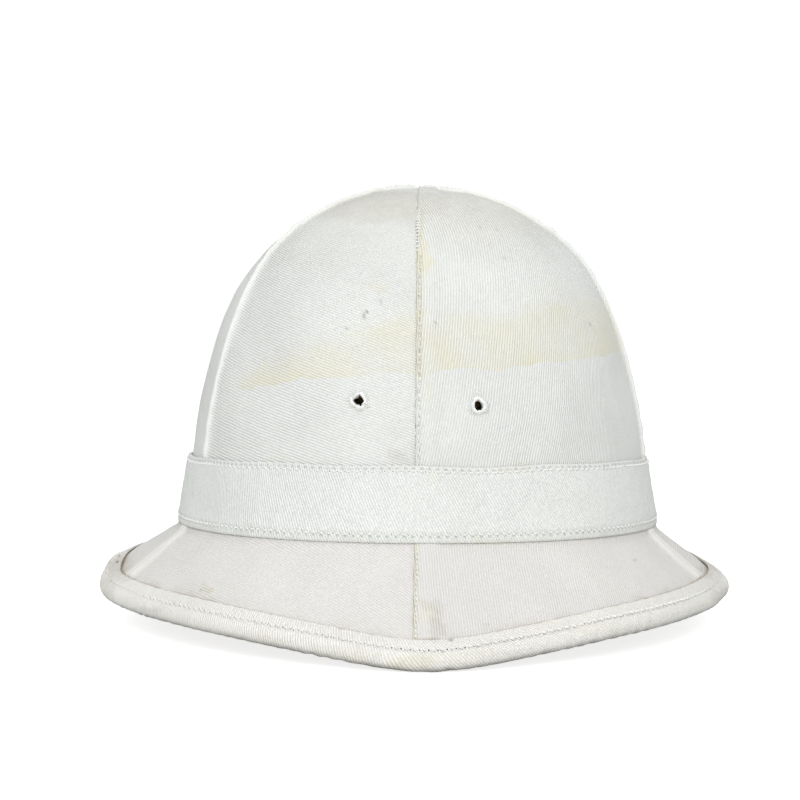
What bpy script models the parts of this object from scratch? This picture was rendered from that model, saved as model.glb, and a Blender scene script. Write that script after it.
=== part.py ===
"""Pith helmet: a stiff shell covered in panels of white twill, with a hat band and a rolled binding.

Metres, +Z up. The front faces -Y and the viewer's right is +X. The origin lies on the surface that the
helmet rests on, under the middle of its outline. Angles are the parameter of the head's oval, in degrees:
0 is the front, 90 the right side, -90 the left side, as seen from the front.
"""

import math

import bmesh
import bpy
from mathutils import Matrix, Vector

# Crown, measured on the cloth at the top edge of the hat band
CROWN_HALF_WIDTH = 0.0934
CROWN_FRONT_LENGTH = 0.1125
CROWN_BACK_LENGTH = 0.1105
CROWN_HEIGHT = 0.1105
OVAL_FULLNESS_SHARE = 0.045
# Height share and radius share of each ring of the crown, from the band up to the last ring below the apex
CROWN_RINGS = (
    (0.000, 1.000),
    (0.125, 0.981),
    (0.275, 0.946),
    (0.430, 0.896),
    (0.580, 0.826),
    (0.695, 0.748),
    (0.795, 0.643),
    (0.875, 0.513),
    (0.935, 0.372),
    (0.975, 0.226),
    (0.995, 0.100),
)

# Wall behind the band: how far it spreads from the band's top edge down to the brim
WALL_FLARE_SIDE = 0.0043
WALL_FLARE_ENDS = 0.0060
BAND_HEIGHT = 0.0268

# Brim, measured at its front tip: out to the middle of the rolled rim, and down to the resting surface
BRIM_REACH = 0.0415
BRIM_DROP = 0.0398
# Angle, share of the reach and share of the drop, round the brim from the back over the left side
BRIM_EDGE = (
    (-180, 0.980, 1.000),
    (-160, 0.950, 1.000),
    (-140, 0.855, 0.890),
    (-120, 0.740, 0.680),
    (-105, 0.685, 0.600),
    (-90, 0.680, 0.615),
    (-75, 0.710, 0.740),
    (-60, 0.670, 0.757),
    (-45, 0.695, 0.771),
    (-30, 0.790, 0.810),
    (-15, 0.920, 0.892),
    (-5, 0.995, 0.977),
    (0, 1.000, 1.000),
    (5, 0.957, 0.978),
    (15, 0.858, 0.902),
    (30, 0.757, 0.804),
    (45, 0.667, 0.765),
    (60, 0.637, 0.737),
    (75, 0.645, 0.715),
    (90, 0.650, 0.700),
    (105, 0.685, 0.670),
    (120, 0.745, 0.705),
    (140, 0.855, 0.890),
    (160, 0.950, 1.000),
    (180, 0.980, 1.000),
)
CORNER_DROP = 0.0016
FILLET_RADIUS = 0.0090

# Shell walls
CROWN_WALL = 0.0035
BRIM_WALL = 0.0025
CLEARANCE = 0.0003

# Cloth panels and their lapped seams
CLOTH = 0.0010
PANEL_RISE = 0.0015
LAP_WIDTH = 0.0060
LAP_RISE = 0.0005
FRONT_SEAM = -2.3
LEFT_CROWN_SEAM = -64.0
LEFT_BRIM_SEAM = -71.0
RIGHT_CROWN_SEAM = 75.0
RIGHT_BRIM_SEAM = 67.0
BACK_SEAM = 180.0
SEAM_GAP = 0.0003
TIP_RADIUS = 0.0010
UNDER_BAND = 0.0030
PANEL_GAP = 0.0006

# Hat band
BAND_CLOTH = 0.0015
HEM_DEPTH = 0.0008
HEM_HEIGHT = 0.0045

# Rolled binding
ROLL_RADIUS = 0.0036
BINDING_CLOTH = 0.0010
BINDING_FLAT = 0.0044
FOOT_HALF_ANGLE = 15.0
# Distances in from the middle of the roll, as shares of its radius, and of the shell's bead inside it
VALLEY_SHARE = 0.8
UNDER_SHARE = 0.3
BEAD_TOP_SHARE = 1.2
PANEL_END_SHARE = 1.3
BEAD_UNDER_SHARE = 0.2
# Degrees round the roll, 90 at its top and 0 at its outer side
ROLL_TURNS = (115, 85, 50, 10)
LINING_TURNS = (-45, 0, 45, 90)
BEAD_TURNS = (145, 100, 55, 10, -40)

# Two small holes through the front of the crown: angle, and height above the band's top edge
HOLE_DIAMETER = 0.0031
LEFT_HOLE_ANGLE = -15.0
LEFT_HOLE_HEIGHT = 0.0237
RIGHT_HOLE_ANGLE = 11.9
RIGHT_HOLE_HEIGHT = 0.0219
HOLE_SIDES = 12

STATION_STEP = 7.5
SHARP_ANGLE = 40.0

BAND_BOTTOM = BRIM_DROP
BAND_TOP = BAND_BOTTOM + BAND_HEIGHT
CORNER_Z = BAND_BOTTOM - CORNER_DROP
SHELL_INSET = CLOTH + CLEARANCE
BEAD_RADIUS = ROLL_RADIUS - BINDING_CLOTH - CLEARANCE
VALLEY = -VALLEY_SHARE * ROLL_RADIUS
BINDING_EDGE = VALLEY - BINDING_FLAT
LAP_ANGLE = math.degrees(LAP_WIDTH / CROWN_HALF_WIDTH)

TWILL_WHITE = (0.78, 0.78, 0.73, 1.0)
BAND_WHITE = (0.74, 0.76, 0.74, 1.0)
BINDING_WHITE = (0.76, 0.74, 0.68, 1.0)
PITH_TAN = (0.52, 0.41, 0.27, 1.0)


def secant_slopes(xs, ys):
    """The slope at each point of a curve that never overshoots its points, level at both ends."""
    steps = [(y1 - y0) / (x1 - x0) for x0, x1, y0, y1 in zip(xs, xs[1:], ys, ys[1:])]
    slopes = [0.0]
    for before, after in zip(steps, steps[1:]):
        slopes.append(2 * before * after / (before + after) if before * after > 0 else 0.0)
    return slopes + [0.0]


def smooth(xs, ys, x):
    """The height at x of the smooth curve through the points."""
    slopes = secant_slopes(xs, ys)
    row = max(i for i in range(len(xs) - 1) if i == 0 or xs[i] <= x)
    span = xs[row + 1] - xs[row]
    u = (x - xs[row]) / span
    start = (1 + 2 * u) * (1 - u) ** 2 * ys[row] + u * (1 - u) ** 2 * span * slopes[row]
    end = u * u * (3 - 2 * u) * ys[row + 1] - u * u * (1 - u) * span * slopes[row + 1]
    return start + end


def plan(angle, out):
    """x and y on the oval at this angle, moved outwards, before the outline is centred."""
    sine = math.sin(math.radians(angle))
    cosine = math.cos(math.radians(angle))
    length = CROWN_FRONT_LENGTH if cosine > 0 else CROWN_BACK_LENGTH
    x = (CROWN_HALF_WIDTH * (1 + OVAL_FULLNESS_SHARE * cosine * cosine) + out) * sine
    y = -(length * (1 + OVAL_FULLNESS_SHARE * sine * sine) + out) * cosine
    return x, y


def flare(angle):
    """How far the foot of the wall stands out from the band's top edge."""
    return WALL_FLARE_SIDE + (WALL_FLARE_ENDS - WALL_FLARE_SIDE) * math.cos(math.radians(angle)) ** 2


class Section:
    """The helmet cut upright at one angle: distances out from the oval, and heights."""

    def __init__(self, angle):
        angles = [row[0] for row in BRIM_EDGE]
        reach = BRIM_REACH * smooth(angles, [row[1] for row in BRIM_EDGE], angle)
        drop = BRIM_DROP * smooth(angles, [row[2] for row in BRIM_EDGE], angle)
        corner = Vector((flare(angle), CORNER_Z))
        self.angle = angle
        self.roll = Vector((flare(angle) + reach, BAND_BOTTOM - drop + ROLL_RADIUS))
        span = self.roll - corner
        self.slope = math.atan2(-span.y, span.x) - math.asin(PANEL_RISE / span.length)
        self.down = Vector((math.cos(self.slope), -math.sin(self.slope)))
        self.up = Vector((math.sin(self.slope), math.cos(self.slope)))
        self.lean = math.atan2(flare(angle), BAND_TOP - CORNER_Z)
        side = Vector((math.cos(self.lean), math.sin(self.lean)))
        # The fillet's centre is one radius out from the wall and one radius up from the brim.
        to_centre = Matrix((side, self.up)).inverted() @ Vector((FILLET_RADIUS, FILLET_RADIUS))
        self.centre = corner + to_centre

    def crown(self, inset, height_share, radius_share):
        """A point of the crown, inset from the outside of its cloth."""
        x, y = plan(self.angle, -inset)
        z = BAND_TOP + (CROWN_HEIGHT - inset) * height_share
        return Vector((x * radius_share, y * radius_share, z))

    def wall(self, inset, z):
        """A point of the wall behind the band, at this height."""
        out = flare(self.angle) * (BAND_TOP - z) / (BAND_TOP - CORNER_Z)
        return self.at(out - inset, z)

    def fillet(self, inset, share):
        """A point of the hollow curve from wall to brim."""
        turn = self.lean + share * (math.pi / 2 - self.slope - self.lean)
        radius = FILLET_RADIUS + inset
        return self.at(
            self.centre.x - radius * math.cos(turn),
            self.centre.y - radius * math.sin(turn),
        )

    def rim(self, along, above):
        """A point near the rim: along the brim from the middle of the roll, and above it."""
        return self.at(*(self.roll + along * self.down + above * self.up))

    def round_rim(self, radius, turn):
        """A point round the roll. A turn of 90 degrees is its top, 0 its outer side."""
        return self.rim(radius * math.cos(math.radians(turn)), radius * math.sin(math.radians(turn)))

    def at(self, out, z):
        x, y = plan(self.angle, out)
        return Vector((x, y, z))


def stations(first, last):
    """Angles from first to last, with one on every seam, lap edge and on the tip of the brim."""
    marks = {-180.0, FRONT_SEAM, 0.0, FRONT_SEAM + LAP_ANGLE, BACK_SEAM - LAP_ANGLE, BACK_SEAM}
    for seam in (LEFT_CROWN_SEAM, LEFT_BRIM_SEAM):
        marks |= {seam, seam + LAP_ANGLE}
    for seam in (RIGHT_CROWN_SEAM, RIGHT_BRIM_SEAM):
        marks |= {seam - LAP_ANGLE, seam}
    marks = [first] + sorted(mark for mark in marks if first < mark < last) + [last]
    angles = []
    for start, end in zip(marks, marks[1:]):
        count = math.ceil((end - start) / STATION_STEP)
        angles += [start + (end - start) * i / count for i in range(count)]
    return angles + [last]


def all_round():
    return [Section(angle) for angle in stations(-180.0, 180.0)[:-1]]


def binding_loop(section):
    """The binding's outline at one angle: a C round the rim, flat where it can rest on a surface."""
    flat_top = PANEL_RISE + CLEARANCE + BINDING_CLOTH
    inner = BEAD_RADIUS + CLEARANCE
    straight_down = math.degrees(section.slope) - 90
    foot_radius = ROLL_RADIUS / math.cos(math.radians(FOOT_HALF_ANGLE))
    over = [
        section.rim(BINDING_EDGE, PANEL_RISE + CLEARANCE),
        section.rim(BINDING_EDGE, flat_top - CLEARANCE),
        section.rim(BINDING_EDGE + CLEARANCE, flat_top),
        section.rim(VALLEY, flat_top - CLEARANCE),
    ]
    roll = [section.round_rim(ROLL_RADIUS, turn) for turn in ROLL_TURNS]
    under = [
        section.round_rim(foot_radius, straight_down + FOOT_HALF_ANGLE),
        section.round_rim(foot_radius, straight_down - FOOT_HALF_ANGLE),
        section.rim(-UNDER_SHARE * ROLL_RADIUS, -ROLL_RADIUS),
        section.rim(BINDING_EDGE, -ROLL_RADIUS),
        section.rim(BINDING_EDGE, -inner),
        section.rim(0, -inner),
    ]
    lining = [section.round_rim(inner, turn) for turn in LINING_TURNS]
    back = [
        section.rim(VALLEY / 2, inner - CLEARANCE),
        section.rim(VALLEY, PANEL_RISE + CLEARANCE),
    ]
    return over + roll + under + lining + back


def outline_middle():
    """The middle of the finished outline, seen from above."""
    points = [point for section in all_round() for point in binding_loop(section)]
    xs = [point.x for point in points]
    ys = [point.y for point in points]
    return Vector(((min(xs) + max(xs)) / 2, (min(ys) + max(ys)) / 2, 0.0))


def principled(name, colour, roughness):
    material = bpy.data.materials.new(name)
    material.use_nodes = True
    shader = material.node_tree.nodes["Principled BSDF"]
    shader.inputs["Base Color"].default_value = colour
    shader.inputs["Roughness"].default_value = roughness
    shader.inputs["Metallic"].default_value = 0.0
    return material


def add_object(name, bm, material):
    """Makes the bmesh a smooth-shaded object under the helmet's empty."""
    bmesh.ops.translate(bm, vec=-MIDDLE, verts=bm.verts)
    mesh = bpy.data.meshes.new(name)
    bm.to_mesh(mesh)
    bm.free()
    mesh.shade_smooth()
    mesh.set_sharp_from_angle(angle=math.radians(SHARP_ANGLE))
    mesh.materials.append(material)
    obj = bpy.data.objects.new(name, mesh)
    bpy.context.scene.collection.objects.link(obj)
    obj.parent = HELMET
    return obj


def join_loops(bm, loops, closed):
    """Fills quads between each loop of vertices and the next."""
    for loop, following in zip(loops, loops[1:]):
        count = len(loop) if closed else len(loop) - 1
        for i in range(count):
            j = (i + 1) % len(loop)
            bm.faces.new((loop[i], following[i], following[j], loop[j]))


def closed_ring(name, outline, material):
    """A ring all round the head whose cross-section is a closed outline."""
    bm = bmesh.new()
    loops = [[bm.verts.new(point) for point in outline(section)] for section in all_round()]
    join_loops(bm, loops + loops[:1], closed=True)
    bmesh.ops.recalc_face_normals(bm, faces=bm.faces)
    return add_object(name, bm, material)


def shell_line(section):
    """The shell's outline at one angle, from the last ring outside to the last ring inside."""
    under = SHELL_INSET + BRIM_WALL
    inside = SHELL_INSET + CROWN_WALL
    outer = [section.crown(SHELL_INSET, *ring) for ring in reversed(CROWN_RINGS)]
    outer += [section.fillet(SHELL_INSET, share) for share in (0.0, 0.5, 1.0)]
    outer.append(section.rim(-BEAD_TOP_SHARE * BEAD_RADIUS, PANEL_RISE - SHELL_INSET))
    bead = [section.round_rim(BEAD_RADIUS, turn) for turn in BEAD_TURNS]
    below = [section.rim(-BEAD_UNDER_SHARE * BEAD_RADIUS, PANEL_RISE - under)]
    for share in (1.0, 0.5, 0.0):
        below.append(section.fillet(under + (inside - under) * (1 - share), share))
    inner = [section.crown(inside, *ring) for ring in CROWN_RINGS]
    return outer + bead + below + inner


def pith_shell():
    """Crown and brim in one stiff wall, closed at the apex and open below, with a bead round the rim."""
    bm = bmesh.new()
    lines = [[bm.verts.new(point) for point in shell_line(section)] for section in all_round()]
    join_loops(bm, lines + lines[:1], closed=False)
    for end, inset in ((0, SHELL_INSET), (-1, SHELL_INSET + CROWN_WALL)):
        apex = bm.verts.new((0.0, 0.0, BAND_TOP + CROWN_HEIGHT - inset))
        ring = [line[end] for line in lines]
        for here, following in zip(ring, ring[1:] + ring[:1]):
            bm.faces.new((apex, here, following))
    bmesh.ops.recalc_face_normals(bm, faces=bm.faces)
    return add_object("pith_shell", bm, PITH)


def crown_line(section, nudge, rise):
    """A crown panel's outer face at one angle, from the apex down behind the band.

    Its lap is highest just above the band and fades out towards the apex.
    """
    points = []
    tip = (1.0, TIP_RADIUS / CROWN_HALF_WIDTH)
    for height_share, radius_share in (tip, *reversed(CROWN_RINGS)):
        # The seam's gap keeps its width, so its angle grows towards the apex.
        turn = math.degrees(nudge / (radius_share * CROWN_HALF_WIDTH))
        lift = rise * radius_share if height_share > 0 else 0.0
        points.append(Section(section.angle + turn).crown(-lift, height_share, radius_share))
    hidden = Section(section.angle + math.degrees(nudge / CROWN_HALF_WIDTH))
    points.append(hidden.wall(0.0, BAND_BOTTOM + UNDER_BAND + PANEL_GAP))
    return points


def brim_line(section, nudge, rise):
    """A brim panel's outer face at one angle, from behind the band down under the binding."""
    near = Section(section.angle + math.degrees(nudge / CROWN_HALF_WIDTH))
    edge = BINDING_EDGE - CLEARANCE
    points = [near.wall(0.0, BAND_BOTTOM + UNDER_BAND)]
    points.append(near.fillet(0.0, 0.25))
    points += [near.fillet(-rise, share) for share in (0.6, 1.0)]
    points.append(near.rim(edge - rise, PANEL_RISE + rise))
    points.append(near.rim(edge, PANEL_RISE))
    points.append(near.rim(-PANEL_END_SHARE * BEAD_RADIUS, PANEL_RISE))
    return points


def cloth_panel(name, line, first, last, raised, material):
    """One panel of cloth between two seams, raised along those where it laps over its neighbour."""
    bm = bmesh.new()
    lines = []
    for angle in stations(first, last):
        # Each end gives up half of the seam's gap, and the angles between close up evenly.
        nudge = SEAM_GAP * (0.5 - (angle - first) / (last - first))
        rise = LAP_RISE if angle in raised else 0.0
        lines.append([bm.verts.new(point) for point in line(Section(angle), nudge, rise)])
    join_loops(bm, lines, closed=False)
    bmesh.ops.reverse_faces(bm, faces=bm.faces)
    obj = add_object(name, bm, material)
    thicken = obj.modifiers.new("cloth thickness", "SOLIDIFY")
    thicken.thickness = CLOTH
    thicken.offset = -1.0
    thicken.use_even_offset = True
    return obj


def band_outline(section):
    """The hat band's outline at one angle: a folded edge above and a rounded hem below."""
    face = -CLEARANCE - BAND_CLOTH
    hem = face - HEM_DEPTH
    half_hem = (BAND_CLOTH + HEM_DEPTH) / 2
    corner = half_hem * (1 - math.sqrt(0.5))
    return [
        section.wall(-CLEARANCE, BAND_TOP),
        section.wall(-CLEARANCE, BAND_BOTTOM + half_hem),
        section.wall(-CLEARANCE - corner, BAND_BOTTOM + corner),
        section.wall(-CLEARANCE - half_hem, BAND_BOTTOM),
        section.wall(hem + corner, BAND_BOTTOM + corner),
        section.wall(hem, BAND_BOTTOM + half_hem),
        section.wall(hem, BAND_BOTTOM + HEM_HEIGHT - HEM_DEPTH),
        section.wall(face, BAND_BOTTOM + HEM_HEIGHT),
        section.wall(face, BAND_TOP - BAND_CLOTH / 2),
        section.wall(face + BAND_CLOTH / 3, BAND_TOP),
    ]


def hole_cutter(name, angle, height):
    """A rod that drills one hole through cloth and shell, square to the crown."""
    shares = [ring[0] for ring in CROWN_RINGS]
    radii = [ring[1] for ring in CROWN_RINGS]
    share = height / CROWN_HEIGHT
    here = Section(angle).crown(0.0, share, smooth(shares, radii, share))
    inwards = Vector((-here.x, -here.y, 0.0)).normalized()
    length = 4 * (SHELL_INSET + CROWN_WALL)
    bm = bmesh.new()
    turn = inwards.to_track_quat("Z", "Y").to_matrix().to_4x4()
    bmesh.ops.create_cone(
        bm,
        cap_ends=True,
        segments=HOLE_SIDES,
        radius1=HOLE_DIAMETER / 2,
        radius2=HOLE_DIAMETER / 2,
        depth=length,
        matrix=Matrix.Translation(here) @ turn,
    )
    cutter = add_object(name, bm, PITH)
    cutter.hide_render = True
    cutter.display_type = "WIRE"
    return cutter


def drill(obj, cutters):
    for cutter in cutters:
        cut = obj.modifiers.new("hole", "BOOLEAN")
        cut.operation = "DIFFERENCE"
        cut.solver = "EXACT"
        cut.object = cutter


for old in list(bpy.data.objects):
    bpy.data.objects.remove(old)

MIDDLE = outline_middle()
HELMET = bpy.data.objects.new("pith_helmet", None)
bpy.context.scene.collection.objects.link(HELMET)

TWILL = principled("white twill", TWILL_WHITE, 0.85)
BAND = principled("band twill", BAND_WHITE, 0.8)
BINDING = principled("binding twill", BINDING_WHITE, 0.85)
PITH = principled("pith", PITH_TAN, 0.9)

shell = pith_shell()

left_hole = hole_cutter("left_hole_cutter", LEFT_HOLE_ANGLE, LEFT_HOLE_HEIGHT)
right_hole = hole_cutter("right_hole_cutter", RIGHT_HOLE_ANGLE, RIGHT_HOLE_HEIGHT)
drill(shell, (left_hole, right_hole))

# The right-hand panel laps over the left at the front and at the back, and the front ones over the back ones.
PANELS = (
    ("front_left", LEFT_CROWN_SEAM, FRONT_SEAM, LEFT_BRIM_SEAM, FRONT_SEAM, ("first",)),
    ("front_right", FRONT_SEAM, RIGHT_CROWN_SEAM, FRONT_SEAM, RIGHT_BRIM_SEAM, ("first", "last")),
    ("back_right", RIGHT_CROWN_SEAM, BACK_SEAM, RIGHT_BRIM_SEAM, BACK_SEAM, ("last",)),
    ("back_left", BACK_SEAM - 360, LEFT_CROWN_SEAM, BACK_SEAM - 360, LEFT_BRIM_SEAM, ()),
)
crown_panels = {}
for place, crown_first, crown_last, brim_first, brim_last, lapped in PANELS:
    crown_raised = {"first": crown_first, "last": crown_last}
    brim_raised = {"first": brim_first, "last": brim_last}
    crown_panels[place] = cloth_panel(
        f"crown_panel_{place}",
        crown_line,
        crown_first,
        crown_last,
        [crown_raised[end] for end in lapped],
        TWILL,
    )
    cloth_panel(
        f"brim_panel_{place}",
        brim_line,
        brim_first,
        brim_last,
        [brim_raised[end] for end in lapped],
        TWILL,
    )
drill(crown_panels["front_left"], (left_hole,))
drill(crown_panels["front_right"], (right_hole,))

closed_ring("hat_band", band_outline, BAND)
closed_ring("brim_binding", binding_loop, BINDING)
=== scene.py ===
"""Looks for the pith helmet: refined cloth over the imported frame, with stitches, weave, stains and wear.

Metres, +Z up, front towards -Y, in the part's own frame. Angles are the parameter of the head's oval in
degrees: 0 is the front, 90 the viewer's right. Places in the picture are pixels of the 800 x 800 frame.
"""

import math

import bpy
import numpy as np
from mathutils import Matrix, Vector


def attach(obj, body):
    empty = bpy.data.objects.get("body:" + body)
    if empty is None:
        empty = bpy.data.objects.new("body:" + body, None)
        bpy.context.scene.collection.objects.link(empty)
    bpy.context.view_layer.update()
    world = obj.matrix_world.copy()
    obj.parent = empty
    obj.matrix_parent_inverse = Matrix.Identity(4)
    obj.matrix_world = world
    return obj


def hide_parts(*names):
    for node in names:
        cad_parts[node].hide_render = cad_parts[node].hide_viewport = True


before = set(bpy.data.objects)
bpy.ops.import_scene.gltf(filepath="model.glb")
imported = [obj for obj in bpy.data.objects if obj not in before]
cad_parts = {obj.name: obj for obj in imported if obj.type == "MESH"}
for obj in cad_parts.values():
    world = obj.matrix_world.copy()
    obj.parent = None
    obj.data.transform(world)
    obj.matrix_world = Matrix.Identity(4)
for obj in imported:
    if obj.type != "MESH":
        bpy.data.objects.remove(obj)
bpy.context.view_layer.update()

# The part's named sizes
CROWN_HALF_WIDTH = 0.0934
CROWN_FRONT_LENGTH = 0.1125
CROWN_BACK_LENGTH = 0.1105
CROWN_HEIGHT = 0.1105
OVAL_FULLNESS_SHARE = 0.045
CROWN_RINGS = (
    (0.000, 1.000), (0.125, 0.981), (0.275, 0.946), (0.430, 0.896), (0.580, 0.826), (0.695, 0.748),
    (0.795, 0.643), (0.875, 0.513), (0.935, 0.372), (0.975, 0.226), (0.995, 0.100),
)
WALL_FLARE_SIDE = 0.0043
WALL_FLARE_ENDS = 0.0060
BAND_HEIGHT = 0.0268
BRIM_REACH = 0.0415
BRIM_DROP = 0.0398
BRIM_EDGE = (
    (-180, 0.980, 1.000), (-160, 0.950, 1.000), (-140, 0.855, 0.890), (-120, 0.740, 0.680),
    (-105, 0.685, 0.600), (-90, 0.680, 0.615), (-75, 0.710, 0.740), (-60, 0.670, 0.757), (-45, 0.695, 0.771),
    (-30, 0.790, 0.810), (-15, 0.920, 0.892), (-5, 0.995, 0.977), (0, 1.000, 1.000), (5, 0.957, 0.978),
    (15, 0.858, 0.902), (30, 0.757, 0.804), (45, 0.667, 0.765), (60, 0.637, 0.737), (75, 0.645, 0.715),
    (90, 0.650, 0.700), (105, 0.685, 0.670), (120, 0.745, 0.705), (140, 0.855, 0.890), (160, 0.950, 1.000),
    (180, 0.980, 1.000),
)
CORNER_DROP = 0.0016
FILLET_RADIUS = 0.0090
CLEARANCE = 0.0003
PANEL_RISE = 0.0015
FRONT_SEAM = -2.3
LEFT_CROWN_SEAM = -64.0
LEFT_BRIM_SEAM = -71.0
RIGHT_CROWN_SEAM = 75.0
RIGHT_BRIM_SEAM = 67.0
BACK_SEAM = 180.0
SEAM_GAP = 0.0003
BAND_CLOTH = 0.0015
ROLL_RADIUS = 0.0036
BINDING_CLOTH = 0.0010
BINDING_FLAT = 0.0044
VALLEY_SHARE = 0.8
LEFT_HOLE_ANGLE = -15.0
LEFT_HOLE_HEIGHT = 0.0237
RIGHT_HOLE_ANGLE = 11.9
RIGHT_HOLE_HEIGHT = 0.0219
# The middle of the part's outline before it is centred, as part.py finds it
MIDDLE = np.array((-0.00055, -0.00141, 0.0))

BAND_BOTTOM = BRIM_DROP
BAND_TOP = BAND_BOTTOM + BAND_HEIGHT
CORNER_Z = BAND_BOTTOM - CORNER_DROP
VALLEY = -VALLEY_SHARE * ROLL_RADIUS
BINDING_EDGE = VALLEY - BINDING_FLAT
BEAD_RADIUS = ROLL_RADIUS - BINDING_CLOTH - CLEARANCE

MM = 0.001

# Camera: place, turn and roll in degrees, focal length and line of sight in pixels, and distance from the middle,
# fitted to the band, the seams, the rim and the holes
CAMERA_PLACE = (-0.0203, -0.7737, 0.1000)
CAMERA_HEADING = 1.5
CAMERA_ROLL = 0.3
FOCAL_PIXELS = 1843.0
SIGHT_U = 416.3
SIGHT_V = 373.2
CAMERA_DISTANCE = 0.774
PICTURE = 800
SENSOR = 36.0


def smooth(xs, ys, x):
    """The part's own curve through its points, for many places at once."""
    xs = np.asarray(xs, float)
    ys = np.asarray(ys, float)
    steps = np.diff(ys) / np.diff(xs)
    before, after = steps[:-1], steps[1:]
    turning = before * after > 0
    inner = np.where(turning, 2 * before * after / np.where(turning, before + after, 1.0), 0.0)
    slopes = np.concatenate(([0.0], inner, [0.0]))
    row = np.clip(np.searchsorted(xs, x, side="right") - 1, 0, len(xs) - 2)
    span = xs[row + 1] - xs[row]
    u = (x - xs[row]) / span
    start = (1 + 2 * u) * (1 - u) ** 2 * ys[row] + u * (1 - u) ** 2 * span * slopes[row]
    end = u * u * (3 - 2 * u) * ys[row + 1] - u * u * (1 - u) * span * slopes[row + 1]
    return start + end


def step(low, high, x):
    """0 at low, 1 at high, eased between. High may be the smaller."""
    u = np.clip((x - low) / (high - low), 0, 1)
    return u * u * (3 - 2 * u)


def bell(x, middle, width):
    return np.exp(-(((x - middle) / width) ** 2))


def spline(ts, ys, t):
    """A natural cubic curve through the points, with an even bend."""
    ts = np.asarray(ts, float)
    ys = np.asarray(ys, float)
    n = len(ts)
    h = np.diff(ts)
    a = np.eye(n)
    b = np.zeros(n)
    for i in range(1, n - 1):
        a[i, i - 1 : i + 2] = h[i - 1], 2 * (h[i - 1] + h[i]), h[i]
        b[i] = 6 * ((ys[i + 1] - ys[i]) / h[i] - (ys[i] - ys[i - 1]) / h[i - 1])
    m = np.linalg.solve(a, b)
    k = np.clip(np.searchsorted(ts, t, side="right") - 1, 0, n - 2)
    left, right = t - ts[k], ts[k + 1] - t
    cubes = (m[k] * right**3 + m[k + 1] * left**3) / (6 * h[k])
    lines = (ys[k] / h[k] - m[k] * h[k] / 6) * right + (ys[k + 1] / h[k] - m[k + 1] * h[k] / 6) * left
    return cubes + lines


def ripple(co, scale, seed, waves=14):
    """A smooth uneven field between about -1 and 1, from waves in chance directions."""
    draw = np.random.default_rng(seed)
    total = np.zeros(co.shape[:-1])
    for _ in range(waves):
        direction = draw.normal(size=3)
        direction *= draw.uniform(0.6, 1.7) * 2 * math.pi / (scale * np.linalg.norm(direction))
        total += np.sin(co @ direction + draw.uniform(0, 2 * math.pi))
    return total / math.sqrt(waves)


def wander(t, scale, seed, waves=9):
    """A smooth uneven line, for a place along a seam in metres."""
    draw = np.random.default_rng(seed)
    total = np.zeros_like(t)
    for _ in range(waves):
        total += np.sin(t * draw.uniform(0.5, 1.8) * 2 * math.pi / scale + draw.uniform(0, 6.3))
    return total / math.sqrt(waves)


def plan(angle, out):
    """x and y on the oval at each angle, moved outwards."""
    sine = np.sin(np.radians(angle))
    cosine = np.cos(np.radians(angle))
    length = np.where(cosine > 0, CROWN_FRONT_LENGTH, CROWN_BACK_LENGTH)
    x = (CROWN_HALF_WIDTH * (1 + OVAL_FULLNESS_SHARE * cosine * cosine) + out) * sine
    y = -(length * (1 + OVAL_FULLNESS_SHARE * sine * sine) + out) * cosine
    return x, y


def at(angle, out, z):
    x, y = plan(angle, out)
    return np.stack(np.broadcast_arrays(x, y, z), axis=-1) - MIDDLE


EDGE = np.array(BRIM_EDGE, float)


def edge_share(angle, column):
    """A share from the brim's table, eased over a few degrees so that the rim runs in one sweep."""
    total = 0.0
    for turn, weight in ((-4, 0.1), (-2, 0.22), (0, 0.36), (2, 0.22), (4, 0.1)):
        turned = (np.asarray(angle, float) + turn + 180) % 360 - 180
        total = total + weight * smooth(EDGE[:, 0], EDGE[:, column], turned)
    return total


class Sections:
    """The helmet cut upright at many angles, as distances out from the oval and heights."""

    def __init__(self, angle):
        self.angle = np.asarray(angle, float)
        turn = np.radians(self.angle)
        self.flare = WALL_FLARE_SIDE + (WALL_FLARE_ENDS - WALL_FLARE_SIDE) * np.cos(turn) ** 2
        self.roll_out = self.flare + BRIM_REACH * edge_share(self.angle, 1)
        self.roll_z = BAND_BOTTOM - BRIM_DROP * edge_share(self.angle, 2) + ROLL_RADIUS
        across, fall = self.roll_out - self.flare, CORNER_Z - self.roll_z
        self.slope = np.arctan2(fall, across) - np.arcsin(PANEL_RISE / np.hypot(across, fall))
        self.lean = np.arctan2(self.flare, BAND_TOP - CORNER_Z)
        side = np.cos(self.lean), np.sin(self.lean)
        up = np.sin(self.slope), np.cos(self.slope)
        ratio = FILLET_RADIUS / (side[0] * up[1] - side[1] * up[0])
        self.centre_out = self.flare + ratio * (up[1] - side[1])
        self.centre_z = CORNER_Z + ratio * (side[0] - up[0])

    def wall(self, inset, z):
        return self.flare * (BAND_TOP - z) / (BAND_TOP - CORNER_Z) - inset, z

    def fillet(self, inset, share):
        turn = self.lean + share * (math.pi / 2 - self.slope - self.lean)
        radius = FILLET_RADIUS + inset
        return self.centre_out - radius * np.cos(turn), self.centre_z - radius * np.sin(turn)

    def rim(self, along, above):
        out = self.roll_out + along * np.cos(self.slope) + above * np.sin(self.slope)
        return out, self.roll_z - along * np.sin(self.slope) + above * np.cos(self.slope)


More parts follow.
